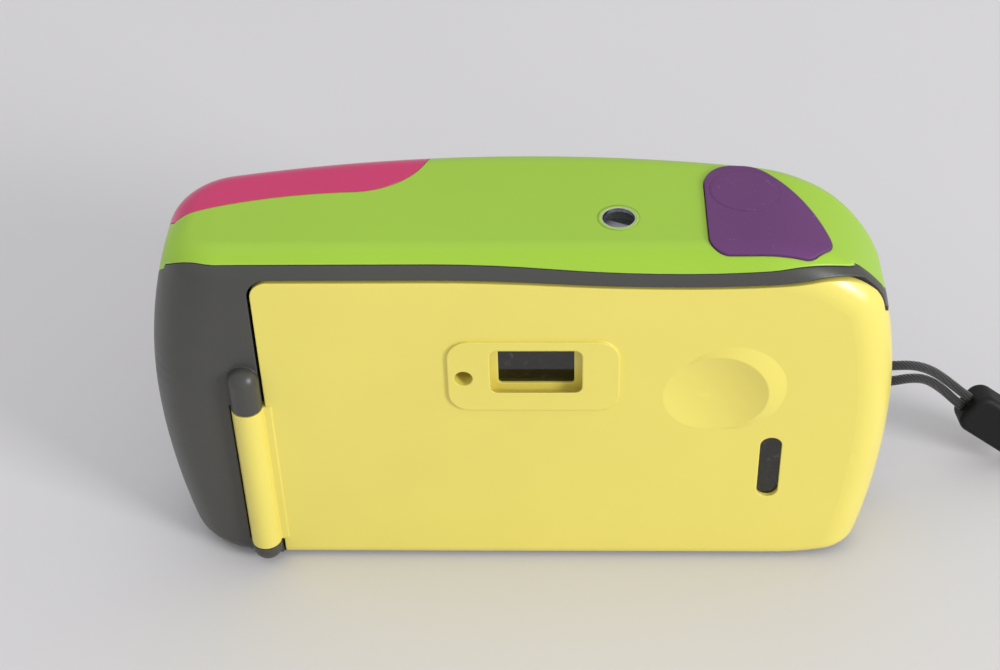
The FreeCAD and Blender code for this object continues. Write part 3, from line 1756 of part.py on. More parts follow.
def make_film_transport():
    lower = toothed("LowerWheel", "lens_height - perforation_offset")
    upper = toothed("UpperWheel", "lens_height + perforation_offset")
    shaft = along_z("SprocketShaft", "0", "0", "shaft_radius", "chamber_foot - 0.6", "chassis_top - 0.4")
    sprocket = joined("Fuse", "SprocketDone", shaft, [lower, upper])
    keep("sprocket_wheel", place(sprocket, "-sprocket_place", "-sprocket_depth", "0"))
    spool = new_body("TakeUpSpool")
    block(
        spool,
        "SpoolShaft",
        "XY_Plane",
        [("circle", "0", "0", "shaft_radius")],
        "chassis_foot + 0.3",
        "chassis_top - 0.4",
    )
    block(
        spool,
        "SpoolHub",
        "XY_Plane",
        [("circle", "0", "0", "spool_radius")],
        "chamber_foot + 1.8",
        "chamber_top - 1.2",
    )
    for name, level in (("Foot", "chamber_foot + 0.6"), ("Head", "chamber_top - 1.8")):
        rim = [("circle", "0", "0", "spool_radius + 1.6")]
        block(spool, f"Spool{name}", "XY_Plane", rim, level, f"{level} + 1.2")
    slot = rectangle("-spool_slot / 2", "spool_slot / 2", "-spool_radius - 2", "spool_radius + 2")
    block(spool, "SpoolSlot", "XY_Plane", [slot], "lens_height - 14", "lens_height + 14", cut=True)
    doc.recompute()
    keep("take_up_spool", place(spool, "-spool_place", "-chamber_depth", "0"))
    fork = new_body("RewindFork")
    block(
        fork,
        "ForkShaft",
        "XY_Plane",
        [("circle", "0", "0", "fork_radius")],
        "chassis_foot - 0.5",
        "chamber_foot + 0.4",
    )
    block(
        fork,
        "ForkFlange",
        "XY_Plane",
        [("circle", "0", "0", "fork_flange")],
        "chassis_foot - 0.8",
        "chassis_foot - 0.2",
    )
    blade = rectangle("-fork_radius", "fork_radius", "-0.7", "0.7")
    block(fork, "ForkBlade", "XY_Plane", [blade], "chamber_foot", "chamber_foot + fork_tall")
    keep("rewind_fork", place(fork, "cassette_place", "-chamber_depth", "0"))


def make_finder():
    x = ("eyepiece_place", "(eyepiece_height + finder_rise)")
    keep(
        "viewfinder_eye_lens",
        window(
            "EyeLens",
            x,
            "eyepiece_width + 1 - tunnel_gap",
            "eyepiece_tall - tunnel_gap",
            "0.5",
            "-film_plane + 0.2",
            "-film_plane + 2.2",
        ),
    )
    keep(
        "viewfinder_front_lens",
        window(
            "FinderLens",
            x,
            "eyepiece_width + 1 - tunnel_gap",
            "eyepiece_tall - tunnel_gap",
            "0.5",
            "chassis_front - 2.4",
            "chassis_front - 0.2",
        ),
    )
    lamp_x = "eyepiece_place - lamp_offset"
    lamp_z = "eyepiece_height - lamp_drop"
    lamp = along_y(
        "ReadyLamp", lamp_x, lamp_z, "lamp_radius", "-film_plane + 4 - lamp_tall", "-film_plane + 4",
    )
    tip = value("-film_plane + 4 - lamp_tall")
    soften(lamp, "LampTip", "0.6", lambda e: near(e.BoundBox.YMax, tip, 0.05))
    return keep("ready_lamp", lamp)


def make_base_pieces():
    keep("tripod_bush", along_z("TripodBush", "0", "0", "tripod_bush_radius", "0", "tripod_depth + 1"))
    bush = pieces["tripod_bush"]
    block(
        bush,
        "BushThread",
        "XY_Plane",
        [("circle", "0", "0", "tripod_thread_radius")],
        "-1",
        "tripod_depth",
        cut=True,
    )
    lid = joined("Common", "BatteryLid", shell, [battery_region("LidRegion", "0")])
    keep("battery_lid", lid)
    cell = new_body("Battery")
    rows = [
        ("0", "0"),
        ("battery_radius - 0.6", "0"),
        ("battery_radius", "0.6"),
        ("battery_radius", "battery_length - 2.0"),
        ("battery_radius - 0.8", "battery_length - 1.2"),
        ("3.2", "battery_length - 1.2"),
        ("3.2", "battery_length"),
        ("0", "battery_length"),
    ]
    turned(cell, "BatteryRound", rows)
    keep("battery", place(cell, "-battery_place", "-battery_back", "battery_foot"))
    cone = new_body("LidContact")
    rows = [
        ("0", "1"),
        ("lid_contact_radius", "1"),
        ("lid_contact_radius * 0.6", "battery_foot"),
        ("0", "battery_foot"),
    ]
    turned(cone, "ContactCone", rows)
    place(cone, "-battery_place", "-battery_back", "0")
    keep("lid_contact", joined("Common", "LidContactDone", cone, [inner_copy("ContactTrim")]))
    upper = ("battery_foot + battery_length", "battery_foot + battery_length + 0.6")
    keep(
        "battery_contact",
        box(
            "TopContact",
            ("-battery_place - 3", "-chassis_left"),
            ("-battery_back - 4", "-battery_back + 4"),
            upper,
        ),
    )
    return keep(
        "rewind_button",
        along_z(
            "RewindButton",
            "rewind_button_place",
            "rewind_button_front",
            "rewind_button_radius",
            "0.3",
            "case_wall + 0.6",
        ),
    )


def lug_box(name, low, high, width, tall):
    # A block in line with the lug's bar, which is turned to the curve of the case
    body = box(name, (low, high), about("0", width), about("lug_height", tall))
    return turned_lug(body)


def turned_lug(body):
    place(body, "lug_bar_place", "lug_place", "0", Rotation(Vector(0, 0, 1), value("lug_turn")))
    bind(body, "Placement.Rotation.Angle", "lug_turn")
    return body


def make_lug():
    insert = lug_box("LugInsert", "-lug_depth", "6", "lug_width - 0.04", "lug_tall - 0.04")
    trimmed = joined("Common", "LugTrimmed", insert, [raised_case("LugCase", "lug_proud", "0")])
    cavity = lug_box(
        "LugCavity", "-lug_depth + lug_wall", "8", "lug_width - 2 * lug_wall", "lug_tall - 2 * lug_wall",
    )
    hollow = joined("Cut", "LugHollow", trimmed, [cavity])
    bar = along_y(
        "LugBar", "0", "lug_height", "lug_bar_radius", "-lug_width / 2 + 0.5", "lug_width / 2 - 0.5",
    )
    return keep("strap_lug", joined("Fuse", "LugDone", hollow, [turned_lug(bar)]))


# Strap: hand-laid routes of straight runs joined by tangent arcs

SLIDER_NOSE = Vector(88.8, 10.0, 15.6)
SLIDER_AXIS = Vector(0.80, -0.02, -0.60)
SLIDER_ACROSS = Vector(0.60, 0.15, 0.78)
STRAP_MIDDLE = [(71.6, 2.8, 29.6), (75.8, 4.6, 28.5), (79.8, 6.9, 25.6), (84.0, 9.0, 20.8)]
STRAP_SPREAD = [(0.0, 2.05), (0.1, 1.75), (0.3, 1.35), (0.5, 1.2)]
LOOP_MIDDLE = [
    (108.5, 9.4), (114.2, 8.0), (118.2, 3.2), (119.4, -3.6), (121.8, -10.0),
    (127.2, -14.2), (134.0, -13.6), (138.6, -8.6), (139.6, -1.6), (138.8, 6.0),
    (136.2, 13.4), (131.0, 19.0), (124.2, 21.8), (117.6, 21.6),
]
LOOP_END = [(113.6, 26.0), (108.4, 26.8), (104.1, 23.4), (103.8, 17.8), (107.8, 14.0), (113.2, 14.4)]


def slider_frame():
    along = Vector(SLIDER_AXIS).normalize()
    across = SLIDER_ACROSS - along * SLIDER_ACROSS.dot(along)
    return along, across.normalize()


def route_arcs(points, name):
    # Straight runs with a tangent arc at each inner point, and the printed radii
    edges = []
    radii = []
    start = points[0]
    for before, here, after in zip(points, points[1:], points[2:]):
        first = here - before
        second = after - here
        turn = first.getAngle(second)
        run = min(first.Length, second.Length)
        radius = 0.45 * run / math.tan(turn / 2)
        radii.append(radius)
        back = Vector(first).normalize() * (0.45 * run)
        ahead = Vector(second).normalize() * (0.45 * run)
        middle = (ahead - back).normalize()
        centre_way = radius / math.cos(turn / 2) - radius
        begin = here - back
        finish = here + ahead
        edges.append(Part.LineSegment(start, begin).toShape())
        edges.append(Part.Arc(begin, here + middle * centre_way, finish).toShape())
        start = finish
    edges.append(Part.LineSegment(start, points[-1]).toShape())
    wire = Part.Wire(edges)
    print(name, "length", round(wire.Length, 1), "radii", [round(r, 1) for r in radii])
    return wire


def make_cord(label, points):
    diameter = value("cord_diameter")
    wire = route_arcs(points, label)
    way = points[1] - points[0]
    ring = Part.Wire([Part.Circle(points[0], way, diameter / 2).toShape()])
    solid = wire.makePipeShell([ring], True, True)
    expected = math.pi * diameter ** 2 / 4 * wire.Length
    print(label, "volume", round(solid.Volume, 2), "expected", round(expected, 2))
    item = doc.addObject("Part::Feature", label)
    item.Shape = solid
    item.Placement = Placement()
    return keep(label, item)


def make_strap():
    along, across = slider_frame()
    half = value("strand_spacing") / 2
    bar = Vector(value("lug_bar_place"), value("lug_place"), value("lug_height"))
    turn = value("lug_bar_radius + cord_diameter / 2") + 0.2
    entry = {1: SLIDER_NOSE + across * half, -1: SLIDER_NOSE - across * half}
    strands = {}
    for side in (1, -1):
        strand = []
        for (x, y, z), (lean, spread) in zip(STRAP_MIDDLE, STRAP_SPREAD):
            strand.append(Vector(x + lean * side * spread, y, z + side * spread * (1 - lean / 2)))
        strands[side] = strand + [entry[side] - along * 1.5, entry[side]]
    round_bar = [
        Vector(bar.x - turn, bar.y, bar.z - turn),
        Vector(bar.x - turn, bar.y, bar.z + turn),
    ]
    points = strands[-1][::-1] + round_bar + strands[1]
    make_cord("strap_cord", points)
    far = SLIDER_NOSE + along * value("slider_length")
    spacing = value("loop_spacing") / 2
    rest = value("cord_diameter") / 2
    middle = [Vector(x, y, rest) for x, y in LOOP_MIDDLE]
    out, home = [], []
    for place_number, here in enumerate(middle):
        before = middle[max(place_number - 1, 0)]
        after = middle[min(place_number + 1, len(middle) - 1)]
        way = after - before
        side = Vector(-way.y, way.x, 0).normalize() * spacing
        out.append(here + side)
        home.append(here - side)
    end = [Vector(x, y, rest) for x, y in LOOP_END]
    top = [far + across * half, far + across * half + along * 3.0]
    low = [far - across * half, far - across * half + along * 2.2]
    points = top + out + end + home[::-1] + low[::-1]
    make_cord("wrist_loop", points)
    slider = new_body("StrapSlider")
    wide = about("0", "slider_width")
    block(
        slider,
        "SliderBlock",
        "XZ_Plane",
        [rounded("0", "slider_length", *wide, "3")],
        "-slider_thick / 2",
        "slider_thick / 2",
    )
    thick = value("slider_thick / 2")
    soften(
        slider,
        "SliderSoft",
        "1.2",
        lambda e: near(abs(e.BoundBox.YMin), thick) and near(e.BoundBox.YMin, e.BoundBox.YMax),
    )
    doc.recompute()
    side = across.cross(along)
    matrix = FreeCAD.Matrix(
        along.x,
        side.x,
        across.x,
        SLIDER_NOSE.x,
        along.y,
        side.y,
        across.y,
        SLIDER_NOSE.y,
        along.z,
        side.z,
        across.z,
        SLIDER_NOSE.z,
    )
    slider.Placement = Placement(matrix)
    return keep("strap_slider", slider)


make_door()
make_main_body()
make_screws()
make_top_cover()
make_flash()
make_front()
make_lens()
make_chassis()
make_latch()
make_top_controls()
make_door_fittings()
make_film_transport()
make_finder()
make_base_pieces()
make_lug()
make_strap()
doc.recompute()


def check_all():
    faults = []
    for item in doc.Objects:
        if "Invalid" in item.State or "Error" in item.State:
            faults.append(f"{item.Name} has state {item.State}")
        if item.TypeId in ("PartDesign::Pocket", "PartDesign::Groove") and item.BaseFeature:
            if item.Shape.Volume > item.BaseFeature.Shape.Volume - 0.01:
                faults.append(f"{item.Name} cuts nothing")
    for label, item in pieces.items():
        if item.Shape.isNull() or not item.Shape.isValid():
            faults.append(f"{label} has a bad shape")
    if faults:
        raise ValueError("; ".join(faults))


def write_all():
    os.makedirs("parts", exist_ok=True)
    for label, item in pieces.items():
        item.Shape.exportStep(f"parts/{label}.step")
    solids = sum(len(item.Shape.Solids) for item in pieces.values())
    print(len(pieces), "nodes", solids, "solids")


check_all()
write_all()
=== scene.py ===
import json
import math

import bmesh
import bpy
from mathutils import Matrix, Vector

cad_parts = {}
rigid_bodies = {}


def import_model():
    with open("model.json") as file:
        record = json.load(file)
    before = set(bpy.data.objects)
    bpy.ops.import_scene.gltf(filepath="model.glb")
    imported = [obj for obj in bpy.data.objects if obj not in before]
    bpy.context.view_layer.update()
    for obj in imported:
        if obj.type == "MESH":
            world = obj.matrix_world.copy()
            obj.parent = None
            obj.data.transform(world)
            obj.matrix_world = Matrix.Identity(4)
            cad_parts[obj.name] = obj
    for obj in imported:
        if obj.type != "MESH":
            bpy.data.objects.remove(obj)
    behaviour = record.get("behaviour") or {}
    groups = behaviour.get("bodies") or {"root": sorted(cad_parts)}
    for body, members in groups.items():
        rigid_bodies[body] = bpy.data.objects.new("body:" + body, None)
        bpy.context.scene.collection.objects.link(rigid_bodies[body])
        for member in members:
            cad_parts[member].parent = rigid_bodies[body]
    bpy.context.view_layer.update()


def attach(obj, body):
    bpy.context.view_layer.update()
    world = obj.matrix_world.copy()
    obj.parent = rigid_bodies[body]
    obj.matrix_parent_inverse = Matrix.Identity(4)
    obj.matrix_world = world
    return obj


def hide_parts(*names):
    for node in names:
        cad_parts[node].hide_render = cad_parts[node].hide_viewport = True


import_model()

# Places and lengths below are in millimetres unless a name or comment says otherwise
MM = 0.001


# Camera: the photograph's own view, from behind and above

CAMERA_PLACE = Vector((7.87, -268.15, 267.25)) * MM
CAMERA_FALL = math.radians(40.0)
CAMERA_TURN = math.radians(-2.85)
CAMERA_ROLL = math.radians(-1.93)
FOCAL_PIXELS = 1817.7
PICTURE_WIDTH = 1000
SENSOR_WIDTH = 36.0


def make_camera():
    camera = bpy.data.cameras.new("Camera")
    camera.sensor_width = SENSOR_WIDTH
    camera.lens = FOCAL_PIXELS / PICTURE_WIDTH * SENSOR_WIDTH
    camera.clip_start = 0.01
    camera.clip_end = 20
    item = bpy.data.objects.new("Camera", camera)
    bpy.context.scene.collection.objects.link(item)
    ahead = Vector((
        math.cos(CAMERA_FALL) * math.sin(CAMERA_TURN),
        math.cos(CAMERA_FALL) * math.cos(CAMERA_TURN),
        -math.sin(CAMERA_FALL),
    ))
    level = Vector((math.cos(CAMERA_TURN), -math.sin(CAMERA_TURN), 0))
    above = level.cross(ahead)
    right = level * math.cos(CAMERA_ROLL) + above * math.sin(CAMERA_ROLL)
    up = above * math.cos(CAMERA_ROLL) - level * math.sin(CAMERA_ROLL)
    turn = Matrix((right, up, -ahead)).transposed()
    item.matrix_world = Matrix.Translation(CAMERA_PLACE) @ turn.to_4x4()
    bpy.context.scene.camera = item


make_camera()


# Materials: every one is a node tree with its own colour changes and grain; the plastics also get
# handling marks and edges lightened partly as wear, partly as painted highlight

class Finish:
    def __init__(self, name):
        self.material = bpy.data.materials.new(name)
        self.material.use_nodes = True
        self.tree = self.material.node_tree
        self.tree.nodes.clear()
        out = self.tree.nodes.new("ShaderNodeOutputMaterial")
        self.shader = self.tree.nodes.new("ShaderNodeBsdfPrincipled")
        self.tree.links.new(self.shader.outputs[0], out.inputs[0])
        self.place = self.tree.nodes.new("ShaderNodeTexCoord").outputs["Object"]
        self.bumps = []

    def node(self, kind, **settings):
        item = self.tree.nodes.new(kind)
        for key, number in settings.items():
            setattr(item, key, number)
        return item

    def link(self, source, target):
        self.tree.links.new(source, target)

    def paint(self, tone):
        self.link(tone, self.shader.inputs["Base Color"])

    def set(self, **numbers):
        # Plain numbers for the shader's sockets, with underscores for the spaces in their names
        for key, number in numbers.items():
            self.shader.inputs[key.replace("_", " ")].default_value = number

    def noise(self, scale, detail=3.0, rough=0.5, stretch=None):
        item = self.node("ShaderNodeTexNoise")
        item.inputs["Scale"].default_value = scale
        item.inputs["Detail"].default_value = detail
        item.inputs["Roughness"].default_value = rough
        if stretch is None:
            self.link(self.place, item.inputs["Vector"])
        else:
            mapping = self.node("ShaderNodeMapping")
            mapping.inputs["Scale"].default_value = stretch
            self.link(self.place, mapping.inputs["Vector"])
            self.link(mapping.outputs[0], item.inputs["Vector"])
        return item.outputs["Fac"]

    def span(self, source, low, high, out_low=0.0, out_high=1.0):
        item = self.node("ShaderNodeMapRange")
        item.clamp = True
        item.inputs["From Min"].default_value = low
        item.inputs["From Max"].default_value = high
        item.inputs["To Min"].default_value = out_low
        item.inputs["To Max"].default_value = out_high
        self.link(source, item.inputs["Value"])
        return item.outputs["Result"]

    def mix(self, factor, first, second):
        item = self.node("ShaderNodeMix", data_type="RGBA")
        sockets = (item.inputs[0], item.inputs[6], item.inputs[7])
        for socket, source in zip(sockets, (factor, first, second)):
            if isinstance(source, (int, float)):
                socket.default_value = source
            elif isinstance(source, tuple):
                socket.default_value = (*source[:3], 1.0)
            else:
                self.link(source, socket)
        return item.outputs[2]

    def times(self, first, second):
        item = self.node("ShaderNodeMath", operation="MULTIPLY")
        for socket, source in zip(item.inputs, (first, second)):
            if isinstance(source, (int, float)):
                socket.default_value = source
            else:
                self.link(source, socket)
        return item.outputs[0]

    def bump(self, height, strength, distance):
        item = self.node("ShaderNodeBump")
        item.inputs["Strength"].default_value = strength
        item.inputs["Distance"].default_value = distance
        self.link(height, item.inputs["Height"])
        if self.bumps:
            self.link(self.bumps[-1].outputs[0], item.inputs["Normal"])
        self.bumps.append(item)
        self.link(item.outputs[0], self.shader.inputs["Normal"])

    def soften(self, radius):
        # Rounds sharp edges a little in the light, and marks where they are
        bevel = self.node("ShaderNodeBevel", samples=6)
        bevel.inputs["Radius"].default_value = radius
        self.bumps.append(bevel)
        self.link(bevel.outputs[0], self.shader.inputs["Normal"])
        turn = self.node("ShaderNodeVectorMath", operation="DOT_PRODUCT")
        self.link(bevel.outputs[0], turn.inputs[0])
        self.link(self.node("ShaderNodeNewGeometry").outputs["Normal"], turn.inputs[1])
        return self.span(turn.outputs["Value"], 0.985, 0.90)


def linear(red, green, blue):
    # A colour as a picture shows it, turned to the light it stands for
    light = []
    for part in (red, green, blue):
        share = part / 255
        light.append(share / 12.92 if share <= 0.04045 else ((share + 0.055) / 1.055) ** 2.4)
    return tuple(light)


# Sizes of the plastics' patterns, as noise scales, and their heights and radii in metres
DRIFT_SCALE = 26
EDGE_WEAR_AND_HIGHLIGHT_SCALE = 35
EDGE_ROUND_RADIUS = 0.00035
SPECK_SCALE = 1500
SPECK_PATCH_SCALE = 160
SMEAR_SCALE = 70
STREAK_SCALE = 60
STREAK_STRETCH = (1, 1, 14)
SCUFF = 0.125
GRAIN_HEIGHT = 0.00006
WAVE_SCALE = 45
WAVE_HEIGHT = 0.0006


def moulded(name, colour, rough, grain, grain_scale=2600, speck=None, coat=0.0, spread=0.06, edge_light_tone=None):
    # Moulded plastic: faint colour drift, fine grain, handling marks, and edges lightened in colour
    # partly as rubbed wear and partly as painted highlight
    finish = Finish(name)
    base = linear(*colour)
    drift = finish.noise(DRIFT_SCALE, 3)
    darker = tuple(c * (1 - spread) for c in base)
    lighter = tuple(min(1, c * (1 + spread)) for c in base)
    tone = finish.mix(finish.span(drift, 0.3, 0.7), darker, lighter)
    edges = finish.soften(EDGE_ROUND_RADIUS)
    # Edge colour: partly rubbed wear, partly a painted highlight; without a given colour the plastic's
    # own colour is lightened
    edge_wear_and_highlight_tone = linear(*edge_light_tone) if edge_light_tone else tuple(min(1, c * 1.25 + 0.01) for c in base)
    edge_wear_and_highlight_mask = finish.times(edges, finish.span(finish.noise(EDGE_WEAR_AND_HIGHLIGHT_SCALE, 3), 0.25, 0.6, 0.25, 0.9))
    tone = finish.mix(edge_wear_and_highlight_mask, tone, edge_wear_and_highlight_tone)
    if speck:
        dots = finish.span(finish.noise(SPECK_SCALE, 2), 0.66, 0.70)
        sparse = finish.span(finish.noise(SPECK_PATCH_SCALE, 2), 0.52, 0.62)
        tone = finish.mix(finish.times(dots, sparse), tone, linear(*speck))
    finish.paint(tone)
    smear = finish.noise(SMEAR_SCALE, 4, 0.6)
    streaks = finish.noise(STREAK_SCALE, 2, 0.5, stretch=STREAK_STRETCH)
    marks = finish.times(finish.span(smear, 0.5, 0.75), finish.span(streaks, 0.45, 0.62))
    finish.link(finish.span(marks, 0.0, 1.0, rough, rough + SCUFF), finish.shader.inputs["Roughness"])
    finish.bump(finish.noise(grain_scale, 2), grain, GRAIN_HEIGHT)
    finish.bump(finish.noise(WAVE_SCALE, 2), 0.08, WAVE_HEIGHT)
    if coat:
        finish.set(Coat_Weight=coat, Coat_Roughness=0.12)
    return finish


def metal(name, colour, rough, brushed=True):
    # Metal with fine lines, brushed in one direction or even on all sides
    finish = Finish(name)
    base = linear(*colour)
    drift = finish.noise(80, 3)
    finish.paint(finish.mix(drift, tuple(c * 0.85 for c in base), base))
    finish.set(Metallic=1.0)
    lines = finish.noise(300, 3, 0.6, stretch=(1, 30, 1) if brushed else (1, 1, 1))
    finish.link(finish.span(lines, 0.3, 0.7, rough * 0.8, rough * 1.3), finish.shader.inputs["Roughness"])
    finish.bump(lines, 0.1, 0.00002)
    return finish


GLASS_ROUGH = 0.03
GLASS_SMEAR = 0.08


def glass(name, colour, alpha):
    # Thin clear plastic or glass: a smooth coat over a tinted see-through body
    finish = Finish(name)
    base = linear(*colour)
    dust = finish.span(finish.noise(900, 3), 0.62, 0.75, 0.0, 0.08)
    finish.paint(finish.mix(dust, base, (0.5, 0.5, 0.5)))
    smear = finish.noise(60, 3)
    uneven = finish.span(smear, 0.4, 0.75, GLASS_ROUGH, GLASS_ROUGH + GLASS_SMEAR)
    finish.link(uneven, finish.shader.inputs["Roughness"])
    finish.set(Alpha=alpha, IOR=1.5, Coat_Weight=0.5, Coat_Roughness=0.02)
    finish.bump(finish.noise(30, 2), 0.04, 0.0004)
    return finish


YELLOW = moulded("yellow_plastic", (231, 216, 104), 0.30, 0.12, coat=0.15, spread=0.025)
# Green's edge colour is a painted highlight line along its edges; pink's edge colour is a painted
# orange-red light line
GREEN = moulded("green_plastic", (156, 198, 52), 0.36, 0.15, spread=0.025, edge_light_tone=(190, 228, 96))
PINK = moulded("pink_plastic", (200, 32, 100), 0.30, 0.10, coat=0.2, spread=0.03, edge_light_tone=(226, 74, 62))
GREY = moulded("grey_plastic", (66, 66, 63), 0.36, 0.25, spread=0.05)
PURPLE = moulded(
    "purple_rubber", (98, 48, 106), 0.62, 0.4, grain_scale=1600, speck=(126, 88, 136), spread=0.04
)
BLACK = moulded("black_plastic", (14, 14, 15), 0.45, 0.3, spread=0.12)
SLIDER = moulded("slider_plastic", (8, 8, 9), 0.55, 0.3, spread=0.12)
SLIDER.set(Specular_IOR_Level=0.3)
MATTE = moulded("inner_black_plastic", (13, 13, 13), 0.60, 0.4, spread=0.12)
FOAM = moulded("seal_foam", (14, 14, 14), 0.92, 1.0, grain_scale=900, spread=0.3)
SLEEVE = moulded("battery_sleeve", (62, 70, 84), 0.35, 0.08, coat=0.3)
RED_LAMP = moulded("red_lamp_plastic", (150, 26, 24), 0.18, 0.05, coat=0.5)
GREEN_LAMP = moulded("green_lamp_plastic", (40, 70, 46), 0.22, 0.05, coat=0.5)
STEEL = metal("plain_steel", (190, 190, 186), 0.32)
BRIGHT = metal("bright_metal", (225, 225, 225), 0.12, brushed=False)
CHROME = metal("counter_chrome", (222, 223, 226), 0.26, brushed=False)
DARK_METAL = metal("blackened_metal", (44, 44, 46), 0.28)
CLEAR = glass("clear_glass", (226, 232, 236), 0.12)
LENS = glass("lens_glass", (16, 20, 28), 0.30)
WATCH_GLASS = glass("counter_glass", (200, 206, 210), 0.04)
SMOKED = glass("dark_window", (12, 12, 13), 0.93)


def cord_finish():
    # Braided cord: fine slanting bands of yarn, broken up by a little noise
    finish = Finish("braided_cord")
    cells = finish.noise(900, 2)
    wave = finish.node("ShaderNodeTexWave")
    wave.wave_type = "BANDS"
    wave.bands_direction = "DIAGONAL"
    wave.inputs["Scale"].default_value = 700
    wave.inputs["Distortion"].default_value = 2.0
    wave.inputs["Detail"].default_value = 1.0
    finish.link(finish.place, wave.inputs["Vector"])
    dark = finish.mix(wave.outputs["Fac"], (0.006, 0.006, 0.007), (0.03, 0.03, 0.032))
    finish.paint(finish.mix(finish.times(cells, 0.5), dark, (0.02, 0.02, 0.022)))
    finish.set(Roughness=0.8, Sheen_Weight=0.35, Sheen_Roughness=0.4)
    finish.bump(wave.outputs["Fac"], 0.6, 0.0002)
    return finish


CORD = cord_finish()


# The film counter's dial: a black disc with a pale sector, a greyer one and a thin line

DIAL_CENTRE = (15.26, -3.3)
DIAL_LINE_TURN = 82.0
DIAL_SECTOR = (152.0, 335.0)
SECTOR_NEAR = (120, 118, 128)
SECTOR_FAR = (198, 196, 208)
SECTOR_LATE = (96, 95, 102)
LINE_TONE = (130, 130, 136)


def turn_share(degrees):
    # The gradient counts from the left, half a turn behind the plain angle
    return ((degrees + 180.0) % 360.0) / 360.0


def dial_finish():
    finish = moulded("counter_dial_print", (12, 12, 14), 0.4, 0.1, spread=0.1)
    mapping = finish.node("ShaderNodeMapping")
    mapping.inputs["Location"].default_value = (-DIAL_CENTRE[0] * MM, -DIAL_CENTRE[1] * MM, 0)
    finish.link(finish.place, mapping.inputs["Vector"])
    sweep = finish.node("ShaderNodeTexGradient", gradient_type="RADIAL")
    finish.link(mapping.outputs[0], sweep.inputs["Vector"])
    turn = sweep.outputs["Fac"]
    first, last = (turn_share(degrees) for degrees in DIAL_SECTOR)
    line = turn_share(DIAL_LINE_TURN)
    after = finish.span(turn, 0.0, 0.002)
    pale = finish.times(finish.span(turn, last, last - 0.004), after)
    late = finish.span(turn, first, first + 0.004)
    one_side = finish.span(turn, line - 0.012, line - 0.006)
    other_side = finish.span(turn, line + 0.012, line + 0.006)
    stripe = finish.times(one_side, other_side)
    tone = finish.shader.inputs["Base Color"].links[0].from_socket
    fade = finish.mix(finish.span(turn, 0.0, last), linear(*SECTOR_NEAR), linear(*SECTOR_FAR))
    tone = finish.mix(pale, tone, fade)
    tone = finish.mix(late, tone, linear(*SECTOR_LATE))
    tone = finish.mix(stripe, tone, linear(*LINE_TONE))
    finish.paint(tone)
    return finish


DIAL = dial_finish()

NODE_FINISH = {
    "film_door": YELLOW, "main_body": GREY, "case_screws": STEEL, "top_cover": GREEN, "flash_cover": PINK,
    "flash_window": CLEAR, "flash_reflector": BRIGHT, "flash_tube": CLEAR, "front_cover": GREY,
    "window_panel": SMOKED, "light_sensor": CLEAR, "self_timer_lamp": RED_LAMP, "lens_barrel": MATTE,
    "lens_bezel": BLACK, "lens_window": LENS, "focus_cell": MATTE, "front_lens": LENS, "rear_lens": LENS,
    "autofocus_lenses": CLEAR, "film_chassis": MATTE, "finder_frame": MATTE, "cassette_housing": MATTE,
    "spool_housing": MATTE, "flash_shelf": MATTE, "door_latch": BLACK, "button_pad": PURPLE,
    "shutter_button": PURPLE, "shutter_plunger": BLACK, "counter_window": WATCH_GLASS,
    "counter_bezel": BRIGHT, "counter_dial": BLACK, "top_deck": MATTE, "door_liner": MATTE,
    "door_catch": MATTE, "pressure_plate": DARK_METAL, "pressure_spring": STEEL,
    "eyepiece_window": SMOKED, "film_window": SMOKED, "film_window_seal": FOAM, "hinge_pin": STEEL,
    "sprocket_wheel": BLACK, "take_up_spool": BLACK, "rewind_fork": BLACK, "viewfinder_eye_lens": CLEAR,
    "viewfinder_front_lens": CLEAR, "ready_lamp": GREEN_LAMP, "tripod_bush": STEEL, "battery_lid": GREY,
    "battery": SLEEVE, "lid_contact": STEEL, "battery_contact": STEEL, "rewind_button": BLACK,
    "strap_lug": BLACK, "strap_slider": SLIDER,
}


def node_object(name):
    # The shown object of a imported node
    for item in bpy.data.objects:
        if item.get("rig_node") == name or item.name == name:
            return item
    raise ValueError(name)


def dress_nodes():
    for name, finish in NODE_FINISH.items():
        item = node_object(name)
        item.data.materials.clear()
        item.data.materials.append(finish.material)


dress_nodes()


# Helpers for the scene's own pieces

def spot(centre, radius, turn):
    # The place at a radius and a turn round a centre
    return centre[0] + radius * math.cos(turn), centre[1] + radius * math.sin(turn)


def top_height(item, x, y):
    # The height of a node's upper face at a place
    hit, place, _, _ = item.ray_cast(Vector((x, y, 100)) * MM, Vector((0, 0, -1)))
    return place.z / MM if hit else None


def turned_loops(form, centre, rows):
    # The points of a turned form: each row is a turn and its profile of radii and heights
    loops = []
    for turn, profile in rows:
        loop = []
        for radius, height in profile:
            x, y = spot(centre, radius, turn)
            loop.append(form.verts.new((x * MM, y * MM, height * MM)))
        loops.append(loop)
    return loops


def join_loops(form, loops, bands):
    # The faces from each loop to the next, over the first bands of the profile
    for step, loop in enumerate(loops):
        after = loops[(step + 1) % len(loops)]
        for place in range(bands):
            beyond = (place + 1) % len(loop)
            form.faces.new((loop[place], after[place], after[beyond], loop[beyond]))


def place_form(name, form, finish, body):
    # A finished form becomes a piece that rides on a body
    bmesh.ops.recalc_face_normals(form, faces=form.faces)
    mesh = bpy.data.meshes.new(name)
    form.to_mesh(mesh)
    form.free()
    item = bpy.data.objects.new(name, mesh)
    bpy.context.scene.collection.objects.link(item)
    mesh.materials.append(finish.material)
    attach(item, body)
    return item


# The embossed circle round the shutter button: a fine bead that follows the pad's top

BUTTON_CENTRE = (39.7, 1.3)
BUTTON_RADIUS = 6.28
BEAD_RADIUS = 0.13
BEAD_STEPS = 72
BEAD_SINK = 0.35
PAD_REACH = 0.35


